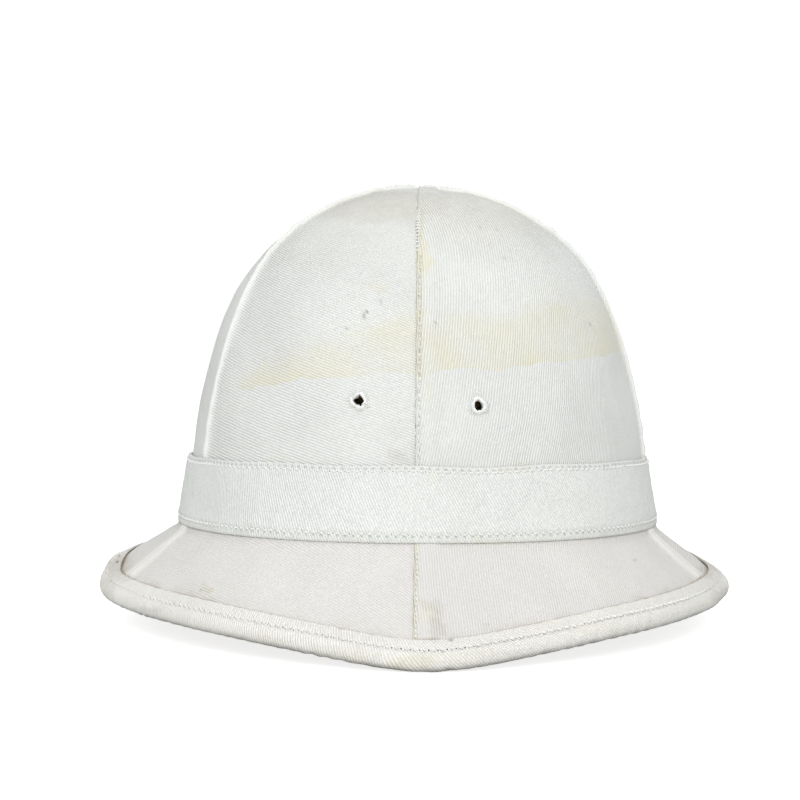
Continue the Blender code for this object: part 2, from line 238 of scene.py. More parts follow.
# The crown's meridian, as one even curve from behind the band over the apex, in lengths along it
rings = np.array(CROWN_RINGS)
half = np.column_stack((np.append(rings[:, 1], 0.0), np.append(rings[:, 0], 1.0)))
foot = np.array(((1.045, -0.245), (1.021, -0.115)))
whole = np.vstack((foot, half, half[-2::-1] * (-1, 1)))
MERIDIAN_STEPS = np.hypot(*(np.diff(whole, axis=0) * (CROWN_HALF_WIDTH, CROWN_HEIGHT)).T)
MERIDIAN = np.concatenate(([0.0], np.cumsum(MERIDIAN_STEPS)))
CROWN_FOOT = MERIDIAN[2]
CROWN_APEX = MERIDIAN[len(foot) + len(half) - 1]


def crown(angle, along):
    """A point on the outside of the crown, this far along its meridian from the band's top edge."""
    t = np.clip(along + CROWN_FOOT, MERIDIAN[0], CROWN_APEX)
    radius = np.maximum(spline(MERIDIAN, whole[:, 0], t), 0.0)
    height = spline(MERIDIAN, whole[:, 1], t)
    x, y = plan(angle, 0.0)
    points = np.stack(np.broadcast_arrays(x * radius, y * radius, BAND_TOP + CROWN_HEIGHT * height), -1)
    return points - MIDDLE * (1, 1, 0)


CROWN_ARC = CROWN_APEX - CROWN_FOOT


def crown_waves(base):
    """Heights of the slight waves in the crown's cloth."""
    return 0.00035 * ripple(base, 0.05, 51) + 0.00008 * ripple(base, 0.013, 52)


def along_at(height):
    """How far along the meridian a height above the band's top edge lies."""
    t = np.linspace(0, CROWN_ARC, 400)
    z = crown(np.zeros_like(t), t)[:, 2]
    return float(np.interp(BAND_TOP + height, z, t))


def arc_lengths(points):
    """Distances along each row of points, from its first."""
    gaps = np.linalg.norm(np.diff(points, axis=0), axis=-1)
    return np.concatenate((np.zeros((1,) + gaps.shape[1:]), np.cumsum(gaps, axis=0)))


def on_line(d, t, line):
    """The line's value at this distance, or at each of these, where t holds its own distances."""
    return np.stack([np.interp(d, t, line[:, k]) for k in range(3)], axis=-1)


def normals(grid, closed_u=False):
    """Outward unit normals of a grid of points whose second axis runs down or out."""
    if closed_u:
        du = np.roll(grid, -1, 0) - np.roll(grid, 1, 0)
    else:
        du = np.gradient(grid, axis=0)
    dv = np.gradient(grid, axis=1)
    n = np.cross(dv, du)
    size = np.linalg.norm(n, axis=-1, keepdims=True)
    return n / np.maximum(size, 1e-12)


def seen(co):
    """Where points fall in the picture, in pixels."""
    a = math.radians(CAMERA_HEADING)
    x, y, z = co[..., 0], co[..., 1], co[..., 2]
    across = x * math.cos(a) - y * math.sin(a)
    depth = CAMERA_DISTANCE + x * math.sin(a) + y * math.cos(a)
    u = FOCAL_PIXELS * across / depth
    v = FOCAL_PIXELS * (CAMERA_PLACE[2] - z) / depth
    r = math.radians(CAMERA_ROLL)
    return SIGHT_U + u * math.cos(r) - v * math.sin(r), SIGHT_V + u * math.sin(r) + v * math.cos(r)


def placed(name, data):
    """A new object in the scene."""
    obj = bpy.data.objects.new(name, data)
    bpy.context.scene.collection.objects.link(obj)
    return obj


def sheet_mesh(name, grid, maps, marks, closed_u=False, closed_v=False):
    """A mesh over a grid of points. Maps have one more row where the grid closes on itself."""
    n, m = grid.shape[:2]
    i, j = np.meshgrid(np.arange(n if closed_u else n - 1), np.arange(m if closed_v else m - 1), indexing="ij")
    i, j = i.ravel(), j.ravel()
    corners = ((i, j), (i, j + 1), (i + 1, j + 1), (i + 1, j))
    faces = np.stack([(a % n) * m + b % m for a, b in corners], axis=1)
    mesh = bpy.data.meshes.new(name)
    mesh.from_pydata(grid.reshape(-1, 3), [], faces)
    for title, values in maps.items():
        layer = mesh.uv_layers.new(name=title)
        width = values.shape[1]
        flat = np.stack([values.reshape(-1, 2)[a * width + b] for a, b in corners], axis=1)
        layer.data.foreach_set("uv", flat.astype(np.float32).ravel())
    for title, values in marks.items():
        attribute = mesh.attributes.new(title, "FLOAT", "POINT")
        attribute.data.foreach_set("value", np.broadcast_to(values, (n, m)).astype(np.float32).ravel())
    mesh.shade_smooth()
    mesh.update()
    return placed(name, mesh)


def thicken(obj, thickness):
    """Gives a sheet its cloth's thickness, on its inner side."""
    modifier = obj.modifiers.new("cloth thickness", "SOLIDIFY")
    modifier.thickness = thickness
    modifier.offset = -1.0
    modifier.use_even_offset = False
    return obj


def turned(u, v, degrees):
    """Weave coordinates: across the ribs and along them, for ribs at this angle from u."""
    a = np.radians(degrees)
    return np.stack((-u * np.sin(a) + v * np.cos(a), u * np.cos(a) + v * np.sin(a)), axis=-1)


# ---- marks


# The stain across the crown's front: picture column, row of its soft upper edge, row of its lower tide line
STAIN_BAND = (
    (236, 384, 390), (262, 366, 387), (300, 350, 378), (350, 331, 377), (398, 318, 372), (415, 316, 376),
    (450, 318, 371), (500, 316, 368), (540, 308, 362), (580, 300, 360), (616, 303, 352), (640, 318, 340),
)
# Yellow patches: column, row, half width, half height, strength
YELLOW_PATCHES = (
    (385, 207, 80, 14, 0.3), (480, 215, 70, 22, 0.2), (424, 257, 8, 17, 1.0), (422, 350, 9, 45, 0.5),
    (376, 287, 9, 7, 0.45), (585, 310, 30, 12, 0.45), (592, 346, 9, 7, 0.8), (545, 290, 26, 10, 0.2),
    (424, 390, 8, 14, 0.3), (425, 612, 8, 12, 0.5), (412, 660, 24, 7, 0.75), (345, 655, 40, 8, 0.3),
    (480, 655, 40, 7, 0.25), (260, 640, 50, 7, 0.25), (580, 630, 60, 8, 0.25), (276, 459, 9, 3, 0.4),
    (205, 590, 5, 6, 0.6), (515, 470, 20, 4, 0.35), (500, 540, 40, 4, 0.35), (435, 478, 10, 8, 0.2),
)
# Brown to grey soiling, with one painted shadow, the long thin patch at row 196 under the rope at the apex: column,
# row, half width, half height, strength
GRIME_AND_SHADOW_PATCHES = (
    (375, 208, 55, 12, 0.34), (467, 208, 14, 7, 0.3), (432, 203, 26, 12, 0.34), (500, 225, 60, 30, 0.2),
    (330, 245, 45, 18, 0.1), (400, 196, 110, 5, 0.45), (302, 250, 60, 14, 0.10), (436, 622, 5, 18, 0.5),
    (428, 606, 6, 6, 0.4), (118, 565, 12, 12, 0.7), (105, 590, 8, 14, 0.5), (708, 568, 8, 8, 0.45),
    (722, 598, 9, 8, 0.5), (397, 457, 9, 5, 0.4), (203, 588, 4, 5, 0.5), (150, 610, 12, 3, 0.4),
)
# Small dark spots: column, row, radius, strength
DARK_SPOTS = (
    (364, 316, 1.6, 0.75), (366.5, 312, 1.3, 0.6), (381, 302, 1.3, 0.5), (385, 308, 1.0, 0.35),
    (590, 325, 1.2, 0.6), (594, 331, 1.0, 0.45), (436, 323, 1.0, 0.45), (347, 329, 1.0, 0.3),
    (486, 625, 1.4, 0.6), (201, 590, 1.1, 0.3), (497, 230, 1.2, 0.3), (480, 227, 1.2, 0.3),
    (504, 258, 1.2, 0.3), (635, 560, 1.3, 0.35), (455, 456, 1.0, 0.3), (117, 562, 1.1, 0.9),
    (119, 556, 1.0, 0.7), (109, 561, 0.9, 0.6), (106, 573, 0.9, 0.35), (430, 607, 0.9, 0.5),
    (451, 640, 1.2, 0.6),
)


def patches(u, v, table, soft=1.35):
    """The strongest of the oval patches at each pixel place."""
    total = np.zeros_like(u)
    for column, row, half_width, half_height, strength in table:
        far = np.hypot((u - column) / half_width, (v - row) / half_height)
        total = np.maximum(total, strength * step(soft, 0.55, far))
    return total


def stains(co):
    """The marks of wear at every point of the front half, by where it falls in the picture; the soiling among them
    also holds a painted shadow under the rope at the apex.
    """
    u, v = seen(co)
    ragged_u = u + 3.0 * ripple(co, 0.011, 3) + 1.2 * ripple(co, 0.004, 4)
    ragged_v = v + 3.0 * ripple(co, 0.012, 5) + 1.4 * ripple(co, 0.004, 6)
    front = step(0.012, -0.008, co[..., 1])
    band = np.array(STAIN_BAND, float)
    top = np.interp(ragged_u, band[:, 0], band[:, 1])
    tide = np.interp(ragged_u, band[:, 0], band[:, 2])
    darker_edge = 0.72 + 0.28 * step(16, 0, tide - ragged_v)
    ends = step(232, 246, u) * step(646, 622, u)
    mottled = 0.8 + 0.25 * ripple(co, 0.02, 8)
    wash = step(-12, 10, ragged_v - top) * darker_edge * ends * mottled
    tide_gap = tide - v + 1.5 * ripple(co, 0.009, 9)
    yellow = patches(ragged_u, ragged_v, YELLOW_PATCHES)
    grime = patches(ragged_u, ragged_v, GRIME_AND_SHADOW_PATCHES, 1.7)
    spots = np.zeros_like(u)
    for column, row, radius, strength in DARK_SPOTS:
        spots = np.maximum(spots, strength * bell(np.hypot(u - column, v - row), 0.0, radius))
    return {
        "yellow": yellow * front,
        "grime": grime * front,
        "spots": spots * front,
        "wash": wash * front,
        "tide": np.clip(tide_gap, -12, 12),
    }


# ---- crown panels


def seam_relief(d, t, thickness, stitch_at, ridge_at, ridge, seed):
    """Height of the lapping cloth over its neighbour, at distances from the fold and along it."""
    roll = 0.0007 if stitch_at else 0.0005
    edge = np.sqrt(np.clip(1 - (1 - np.clip(d, 0, roll) / roll) ** 2, 0, 1))
    if not stitch_at:
        thickness = thickness * (1 + 0.3 * bell(d, 0.0006, 0.0005))
    height = thickness * edge * step(ridge_at + (0.0050 if stitch_at else 0.0022), ridge_at - 0.0002, d)
    if stitch_at:
        uneven = 0.75 + 0.25 * wander(t, 0.006, seed)
        height -= 0.00045 * bell(d, stitch_at, 0.0007) * uneven
        height += 0.00014 * bell(d, stitch_at / 2, 0.0007) * np.cos(2 * math.pi * t / 0.0031)
    height += ridge * bell(d, ridge_at - 0.0004, 0.0011) * (1 + 0.2 * wander(t, 0.012, seed + 1))
    return height


# Name, its first and last seams, whether it laps over its neighbour there, the angle of its ribs and their pitch,
# and how the ribs bend as the cloth is drawn over the crown: by u squared, by u times v and by v squared
CROWN_PANELS = (
    ("front_left", LEFT_CROWN_SEAM, FRONT_SEAM, "side", None, -19.0, 0.00094, (1.1, 1.4, 0.0)),
    ("front_right", FRONT_SEAM, RIGHT_CROWN_SEAM, "front", "side", 73.0, 0.00100, (0.0, 0.0, 0.5)),
    ("back_right", RIGHT_CROWN_SEAM, BACK_SEAM, None, "front", -19.0, 0.00094, (0.0, 0.0, 0.0)),
    ("back_left", BACK_SEAM - 360, LEFT_CROWN_SEAM, None, None, 75.0, 0.00098, (0.0, 0.0, 0.3)),
)
# Pitch that every weave's coordinates are scaled to
RIB_PITCH = 0.00088
# How far a panel runs on under its neighbour's fold, how far the crown's cloth runs on behind the band, and how far
# short of the apex it stops
TUCK = 0.0028
HIDDEN_FOOT = 0.0232
TIP = 0.0004
# Cells of the cloth's grids, and the cloth's thickness
FRONT_CELL = 0.0011
BACK_CELL = 0.0015
CLOTH = 0.0008
# How high the lapping cloth stands, where its row of stitches runs and where its inner fold shows
CROWN_LAP = 0.0009
BRIM_LAP = 0.0008
CROWN_STITCHES = 0.0017
BRIM_STITCHES = 0.0012
FRONT_RIDGE = 0.0064
CROWN_SIDE_RIDGE = 0.0034
BRIM_SIDE_RIDGE = 0.0074


def panel_angles(name, first, last, first_lap, last_lap, radius):
    """The cell of a panel's grid, and its angles, which lie closer together beside a seam where it laps."""
    cell = FRONT_CELL if name.startswith("front") else BACK_CELL
    angles = np.linspace(first, last, int(round((last - first) / np.degrees(cell / radius))) + 1)
    extra = np.degrees(np.array((0.0003, 0.0007, 0.0013, 0.0022, 0.0034)) / CROWN_HALF_WIDTH)
    if first_lap:
        angles = np.union1d(angles, first + extra)
    if last_lap:
        angles = np.union1d(angles, last - extra)
    return cell, angles


def tucked(grid, n, first_lap, last_lap, height):
    """Adds a strip at each side that doesn't lap, which lies under the neighbour's fold."""
    strips = [grid]
    for lap, side, inner in ((first_lap, 0, 1), (last_lap, -1, -2)):
        if lap:
            continue
        across = grid[side] - grid[inner]
        across /= np.maximum(np.linalg.norm(across, axis=-1, keepdims=True), 1e-9)
        rows = []
        for share in (0.25, 0.5, 1.0):
            under = n[side] * (0.0003 * min(2 * share, 1))
            rows.append(grid[side] + across * (TUCK * share * height)[:, None] - under)
        rows = np.stack(rows[::-1] if side == 0 else rows)
        strips = [rows] + strips if side == 0 else strips + [rows]
    return np.concatenate(strips), 3 if not first_lap else 0


def panel_marks(grid, around, extra, count, laps, ridge_at, highlight_width):
    """A panel's stains, its distance from its edges, where a side seam's fold lies smooth, and a painted highlight
    along that fold.
    """
    marks = stains(grid)
    ends = abs(around - around[extra]), abs(around - around[extra + count - 1])
    marks["fold"] = np.minimum(*ends)
    marks["bare"] = marks["light"] = np.zeros_like(around)
    for lap, d in zip(laps, ends):
        if lap == "side":
            marks["bare"] = 0.95 * step(ridge_at + 0.0032, ridge_at + 0.0016, d)
            # A painted highlight along the side seam's fold.
            marks["light"] = bell(d, 0.0005, highlight_width)
    return marks


def deepen(marks, **more):
    """Raises each named mark to at least these values."""
    for name, values in more.items():
        marks[name] = np.maximum(marks[name], values)


def crown_panel(name, first, last, first_lap, last_lap, ribs, pitch, bend):
    cell, angle = panel_angles(name, first, last, first_lap, last_lap, CROWN_HALF_WIDTH)
    down = np.linspace(CROWN_ARC - TIP, -HIDDEN_FOOT, int(round((CROWN_ARC + HIDDEN_FOOT) / cell)))
    a, s = np.meshgrid(angle, down, indexing="ij")
    base = crown(a, s)
    around = arc_lengths(base)
    nudge = SEAM_GAP * (0.5 - (a - first) / (last - first))
    base = crown(a + np.degrees(nudge / np.maximum(around[-1], 1e-4) * np.radians(last - first)), s)
    n = normals(base)
    from_first, from_last = around, around[-1] - around
    rise = np.zeros_like(a)
    foot_fade = step(-0.002, 0.0015, s)
    to_apex = CROWN_ARC - s
    for lap, d in ((first_lap, from_first), (last_lap, from_last)):
        if lap == "front":
            d = d + 0.00035 * wander(s, 0.02, 21)
            ridge = 0.00035 * step(0.05, 0.10, to_apex)
            relief = seam_relief(d, s, CROWN_LAP, CROWN_STITCHES, FRONT_RIDGE, ridge, 31) * step(0.0, 0.008, to_apex)
            rise = np.maximum(rise, relief)
        elif lap == "side":
            ridge = 0.0009 * step(0.010, 0.022, to_apex)
            relief = seam_relief(d, s, CROWN_LAP, None, CROWN_SIDE_RIDGE, ridge, 41) * step(0.0, 0.004, to_apex)
            rise = np.maximum(rise, relief)
    rise *= foot_fade
    edge = np.minimum(from_first, from_last)
    puff = crown_waves(base) * step(0.0, 0.012, edge) * step(-0.002, 0.01, s)
    smooth_grid = base + n * (rise + puff)[..., None]
    grid, extra = tucked(smooth_grid, n, first_lap, last_lap, step(0.0, 0.012, to_apex[0]))
    around = arc_lengths(grid)
    origin = extra + (len(angle) - 1 if name == "front_left" else int(0.6 * len(angle)))
    s = np.broadcast_to(down, grid.shape[:2])
    u = around - around[origin]
    weave = turned(u, s, ribs)
    weave[..., 0] += bend[0] * u * u + bend[1] * u * s + bend[2] * s * s
    weave *= RIB_PITCH / pitch
    marks = panel_marks(grid, around, extra, len(angle), (first_lap, last_lap), CROWN_SIDE_RIDGE, 0.0009)
    if name == "front_right":
        u, v = seen(grid)
        strip = step(0.0030, 0.0020, around) * step(192, 215, v)
        strip = strip * (0.12 + 0.88 * step(384, 374, v))
        deepen(marks, yellow=strip * (0.8 + 0.3 * wander(s, 0.012, 23)), grime=0.28 * strip)
    if name.startswith("front"):
        seam = around if name == "front_left" else around[-1] - around
        u, v = seen(grid)
        dusty = step(0.012, 0.0, seam) * step(250, 205, v) * (0.8 + 0.3 * ripple(grid, 0.016, 24))
        deepen(marks, yellow=0.55 * dusty, grime=0.30 * dusty)
    obj = sheet_mesh(f"crown_cloth_{name}", grid, {"weave": weave}, marks)
    return thicken(obj, CLOTH), smooth_grid, down


# ---- brim panels

BRIM_PANELS = (
    ("front_left", LEFT_BRIM_SEAM, FRONT_SEAM, "side", None, -41.0, 0.00106),
    ("front_right", FRONT_SEAM, RIGHT_BRIM_SEAM, "front", "side", 95.0, 0.00098),
    ("back_right", RIGHT_BRIM_SEAM, BACK_SEAM, None, "front", -41.0, 0.00106),
    ("back_left", BACK_SEAM - 360, LEFT_BRIM_SEAM, None, None, 88.0, 0.00096),
)
# Radius of the cone that the brim's cloth lies on, and how far short of the roll's middle the cloth ends
BRIM_CONE = 0.133
BRIM_END = 1.3 * BEAD_RADIUS


def brim_panel(name, first, last, first_lap, last_lap, ribs, pitch):
    _, angle = panel_angles(name, first, last, first_lap, last_lap, CROWN_HALF_WIDTH + 0.02)
    cut = Sections(angle)
    line = [cut.wall(0.0, np.full_like(angle, BAND_BOTTOM + 0.0028))]
    line += [cut.fillet(0.0, share) for share in np.linspace(0.12, 1.0, 11)]
    start = -(cut.roll_out - line[-1][0]) / np.cos(cut.slope) + PANEL_RISE * np.tan(cut.slope)
    for share in np.linspace(0.04, 1.0, 40):
        line.append(cut.rim(start * (1 - share) - BRIM_END * share, PANEL_RISE))
    out = np.stack([row[0] for row in line], axis=1)
    z = np.stack([row[1] for row in line], axis=1)
    a = np.repeat(angle[:, None], out.shape[1], axis=1)
    nudge = np.degrees(SEAM_GAP * (0.5 - (a - first) / (last - first)) / CROWN_HALF_WIDTH)
    base = at(a + nudge, out, z)
    n = normals(base)
    around = arc_lengths(base)
    outwards = arc_lengths(base.transpose(1, 0, 2)).T
    to_binding = outwards[:, -1:] - outwards + (BRIM_END + BINDING_EDGE)
    from_first, from_last = around, around[-1] - around
    rise = np.zeros_like(a)
    for lap, d in ((first_lap, from_first), (last_lap, from_last)):
        if lap == "front":
            d = d + 0.0003 * wander(outwards, 0.02, 22)
            rise += seam_relief(d, outwards, BRIM_LAP, BRIM_STITCHES, FRONT_RIDGE, 0.0003, 32)
        elif lap == "side":
            rise += seam_relief(d, outwards, BRIM_LAP, None, BRIM_SIDE_RIDGE, 0.0007, 42)
    rise *= step(0.002, 0.006, outwards) * step(0.0, 0.0012, to_binding)
    sag = 0.0003 * ripple(base, 0.04, 53) + 0.00008 * ripple(base, 0.012, 54)
    inner = step(0.0, 0.010, np.minimum(from_first, from_last)) * step(0, 0.004, to_binding)
    rise += 0.00060 * bell(outwards, 0.0044, 0.0016)
    rise += 0.00035 * bell(outwards, 0.0094, 0.0011) * (1 + 0.2 * ripple(base, 0.03, 55))
    smooth_grid = base + n * (rise + sag * inner * step(0.004, 0.012, outwards))[..., None]
    grid, extra = tucked(smooth_grid, n, first_lap, last_lap, np.ones(smooth_grid.shape[1]))
    around = arc_lengths(grid)
    pad = [(3 * (not first_lap), 3 * (not last_lap)), (0, 0)]
    reach = BRIM_CONE + np.pad(outwards, pad, mode="edge")
    origin = extra + (len(angle) - 1 if name == "front_left" else 0 if name == "front_right" else len(angle) // 2)
    turn = (around[:, :1] - around[origin, :1]) / BRIM_CONE
    weave = turned(reach * np.sin(turn), -reach * np.cos(turn), ribs) * RIB_PITCH / pitch
    marks = panel_marks(grid, around, extra, len(angle), (first_lap, last_lap), BRIM_SIDE_RIDGE, 0.0008)
    marks["to_binding"] = np.pad(to_binding, pad, mode="edge")
    if name == "front_right":
        strip = step(0.0022, 0.0012, around)
        deepen(marks, yellow=0.8 * strip, grime=0.3 * strip)
    obj = sheet_mesh(f"brim_cloth_{name}", grid, {"weave": weave}, marks)
    return thicken(obj, CLOTH), smooth_grid, outwards.mean(axis=0)


# ---- closed rings: hat band and binding


def ring_angles(cell, radius):
    count = int(round(2 * math.pi * radius / cell))
    return np.linspace(-180.0, 180.0, count, endpoint=False)


# How the ribs of the band and of the binding lean, by angle round the head, and their pitch: 90 is upright
BAND_LEAN = (
    (-180, -64, 1.00), (-75, -84, 0.98), (-50, -78, 0.98), (-38, -73, 0.97), (-28, -66, 0.97), (0, -63, 0.99),
    (23, -62, 0.99), (60, -60, 0.99), (180, -64, 1.00),
)
BINDING_LEAN = (
    (-180, -60, 0.90), (-100, -88, 0.97), (-20, -82, 0.97), (-6, -76, 0.97), (-1, -60, 0.90), (6, -50, 0.86),
    (90, -47, 0.86), (180, -60, 0.90),
)
BAND_PITCH = 0.0031
BINDING_PITCH = 0.0031
BAND_TOP_ROW = BAND_HEIGHT - 0.0019
BAND_LOW_ROW = 0.0027


def ring_measure(line, pitch):
    """Distances round a closed line of points, its length, and the pitch that divides it evenly."""
    around = arc_lengths(line)
    length = around[-1] + np.linalg.norm(line[0] - line[-1])
    return around, length, length / round(length / pitch)


def sewing_map(around, length, pitch, from_row):
    """Stitch number round a ring, and distance from its row of stitches."""
    return np.stack(np.broadcast_arrays((np.append(around, length) / pitch)[:, None], from_row[None, :]), axis=-1)


def rib_phase(around, length, v, angle, table):
    """Weave coordinates on a ring whose ribs lean by differing angles, scaled to the common rib pitch."""
    turns, leans, pitches = np.array(table, float).T
    a = np.radians(np.interp(angle, turns, leans))
    scale = RIB_PITCH / (np.interp(angle, turns, pitches) * MM)
    gaps = np.diff(np.append(around, length))
    across = np.concatenate(([0.0], np.cumsum(-np.sin(a) * gaps * scale)))
    along = np.concatenate(([0.0], np.cumsum(np.cos(a) * gaps * scale)))
    a, scale = np.append(a, a[0])[:, None], np.append(scale, scale[0])[:, None]
    vv = v[None, :] * scale
    return np.stack((across[:, None] + vv * np.cos(a), along[:, None] + vv * np.sin(a)), axis=-1)


def closed_profile(points, count):
    """An even closed curve through points: places along it, both coordinates, and the points' own places."""
    pts = np.array(points)
    ring = np.vstack((pts, pts[:1]))
    t = np.concatenate(([0.0], np.cumsum(np.hypot(*np.diff(ring, axis=0).T))))
    wrapped = np.concatenate((t[:-1] - t[-1], t[:-1], t[:-1] + t[-1]))
    triple = np.vstack((pts, pts, pts))
    fine = np.linspace(0, t[-1], count, endpoint=False)
    return fine, spline(wrapped, triple[:, 0], fine), spline(wrapped, triple[:, 1], fine), t


def hat_band():
    angle = ring_angles(0.0009, 0.105)
    cut = Sections(angle)
    face = CLEARANCE + BAND_CLOTH
    # Height above the band's foot and distance out from the wall, in millimetres, from the top inside down
    profile = (
        (26.2, 0.35), (26.7, 0.65), (26.8, 1.1), (26.6, 1.55), (26.1, 1.68), (25.5, 1.6), (25.0, 1.58),
        (24.6, 1.75), (24.0, 1.95), (23.0, 2.0), (20.0, 2.0), (15.0, 2.0), (10.0, 2.0), (5.0, 2.1), (3.9, 2.15),
        (3.2, 2.05), (2.7, 1.75), (2.2, 1.85), (1.3, 1.95), (0.4, 1.92), (-0.25, 1.7), (-0.45, 1.2), (0.0, 0.6),
        (1.2, 0.33), (3.0, 0.32), (8.0, 0.32), (16.0, 0.32), (23.0, 0.32),
    )
    fine, height, depth, t = closed_profile(profile, 96)
    height = height * MM
    depth = depth * MM
    z = BAND_BOTTOM + height[None, :] + 0 * angle[:, None]
    wall_out = cut.flare[:, None] * (BAND_TOP - z) / (BAND_TOP - CORNER_Z)
    rim_line = at(angle, cut.flare + face, BAND_BOTTOM)
    around, length, pitch = ring_measure(rim_line, BAND_PITCH)
    beat = np.cos(2 * math.pi * around / pitch)[:, None]
    visible = step(0.0009, 0.0016, depth)[None, :]
    h = height[None, :]
    dimple = np.clip(beat, -0.2, 1.0) * (1 + 0.35 * wander(around, 0.02, 61)[:, None])
    pucker = -0.00042 * dimple * bell(h, 0.0256, 0.0006)
    pucker += 0.00022 * beat * bell(h, 0.0036, 0.0008) - 0.00008 * beat * bell(h, 0.0017, 0.0008)
    outside = at(angle[:, None] + 0 * z, wall_out + depth[None, :], z)
    slack = 0.00012 * ripple(outside, 0.03, 62) + 0.00006 * ripple(outside, 0.009, 63)
    slack *= step(0.004, 0.008, h) * step(0.0245, 0.022, h) + 0.4
    lift = (0.00025 * wander(around, 0.09, 64))[:, None] * step(0.016, 0.0268, h)
    grid = at(angle[:, None] + 0 * z, wall_out + depth[None, :] + (pucker + slack) * visible, z + lift)
    weave = rib_phase(around, length, -np.append(fine, t[-1]) * MM, angle, BAND_LEAN)
    from_row = np.where(height > BAND_HEIGHT / 2, height - BAND_TOP_ROW, BAND_LOW_ROW - height)
    from_row = np.where(depth > 0.0012, from_row, 0.01)
    sewing = sewing_map(around, length, pitch, np.append(from_row, from_row[0]))
    marks = stains(grid)
    # Painted shade on the hem below the band's low row of stitches.
    marks["shade"] = step(0.0027, 0.0012, h) * 0.8 + 0 * z
    band = sheet_mesh("band_cloth", grid, {"weave": weave, "sewing": sewing}, marks, True, True)
    outer = depth > 0.0009
    rows = [int(np.argmin(abs(height - row) + ~outer)) for row in (BAND_TOP_ROW, BAND_LOW_ROW)]
    return band, grid, rows, pitch, length


# Creases over the binding's roll: angle, width, depth, skew
BINDING_CREASES = (
    (-97, 0.0009, 0.0005, 0.3), (-91, 0.0011, 0.0007, -0.2), (-84, 0.0008, 0.0006, 0.4),
    (-79, 0.0007, 0.0004, 0.2), (84, 0.0008, 0.0005, -0.4), (90, 0.0010, 0.0006, 0.2),
    (95, 0.0008, 0.0004, -0.2), (1.5, 0.0014, 0.0003, -0.3),
)
# Which point of the binding's profile carries its row of stitches
BINDING_ROW = 8


def binding():
    angle = ring_angles(0.0011, 0.135)
    cut = Sections(angle)
    r = ROLL_RADIUS / MM
    edge = BINDING_EDGE / MM
    flat_top = (PANEL_RISE + CLEARANCE + BINDING_CLOTH) / MM
    under = (PANEL_RISE + CLEARANCE) / MM
    inner = (BEAD_RADIUS + CLEARANCE) / MM
    turns = np.radians((101, 84, 67, 50, 33, 16, 0, -20, -40, -60, -80, -100))
    roll = [(r * math.cos(q), r * math.sin(q)) for q in turns]
    profile = [
        (edge + 0.6, under), (edge + 0.1, under + 0.1), (edge - 0.15, under + 0.5),
        (edge + 0.15, flat_top - 0.05), (edge + 0.8, flat_top + 0.12), (edge + 1.8, flat_top + 0.22),
        (edge + 3.2, flat_top + 0.28), (-3.0, flat_top + 0.25), (-2.1, flat_top + 0.15),
        (-1.65, flat_top + 0.05), (-1.25, flat_top + 0.2),
    ]
    roll_at = len(profile)
    profile += roll
    profile += [
        (-2.2, -r), (-4.5, -r + 0.1), (edge + 0.5, -r + 0.1), (edge + 0.0, -r + 0.5),
        (edge + 0.4, -inner - 0.05), (-3.0, -inner), (-0.6, -inner),
    ]
    lining = [(inner * math.cos(q), inner * math.sin(q)) for q in np.radians((-70, -35, 0, 35, 70, 100))]
    profile += lining
    profile += [(-1.6, inner - 0.35), (-2.9, under + 0.0)]
    fine, along, above, t = closed_profile(profile, 84)
    along = along * MM
    above = above * MM
    top_side = (fine < t[len(profile) - len(lining) - 9]).astype(float)
    valley_t = t[BINDING_ROW]
    line = at(angle, cut.roll_out, cut.roll_z)
    around, length, pitch = ring_measure(line, BINDING_PITCH)
    da, db = np.gradient(along), np.gradient(above)
    size = np.hypot(da, db)
    na, nb = -db / size, da / size
    d = (fine - valley_t)[None, :] * MM
    beat = np.cos(2 * math.pi * around / pitch)[:, None]
    bulge = 0.00014 * beat * (bell(d, 0.0015, 0.0010) + bell(d, -0.0013, 0.0009))
    bulge += 0.00022 * wander(around, 0.05, 71)[:, None] * bell(d, 0.005, 0.004)
    bulge += 0.00010 * wander(around[:, None] + d * 0.6, 0.008, 72)
    for place, width, depth, skew in BINDING_CREASES:
        gap = (angle[:, None] - place) * math.radians(1) * 0.13 + skew * d
        bulge -= depth * bell(gap, 0.0, width) * step(-0.004, 0.002, d) * step(0.014, 0.009, d)
    bulge = bulge * top_side[None, :]
    aa = along[None, :] + bulge * na[None, :]
    bb = above[None, :] + bulge * nb[None, :]
    out = cut.roll_out[:, None] + aa * np.cos(cut.slope)[:, None] + bb * np.sin(cut.slope)[:, None]
    z = cut.roll_z[:, None] - aa * np.sin(cut.slope)[:, None] + bb * np.cos(cut.slope)[:, None]
    grid = at(angle[:, None] + 0 * z, out, z)
    grid[..., 2] = np.maximum(grid[..., 2], 0.0)
    weave = rib_phase(around, length, -np.append(fine, t[-1]) * MM, angle, BINDING_LEAN)
    sewing = sewing_map(around, length, pitch, np.append(fine - valley_t, t[-1] - valley_t) * MM)
    marks = stains(grid)
    marks["fold"] = abs(fine - t[2])[None, :] * MM + 0 * z
    # Painted shade on the lower side of the binding's roll, fading out on its underside.
    marks["shade"] = step(0.0062, 0.0100, d) * step(t[roll_at + 11], t[roll_at + 9], fine) + 0 * z
    obj = sheet_mesh("binding_cloth", grid, {"weave": weave, "sewing": sewing}, marks, True, True)
    return obj, grid, int(np.argmin(abs(fine - valley_t))), pitch, length


# ---- thread


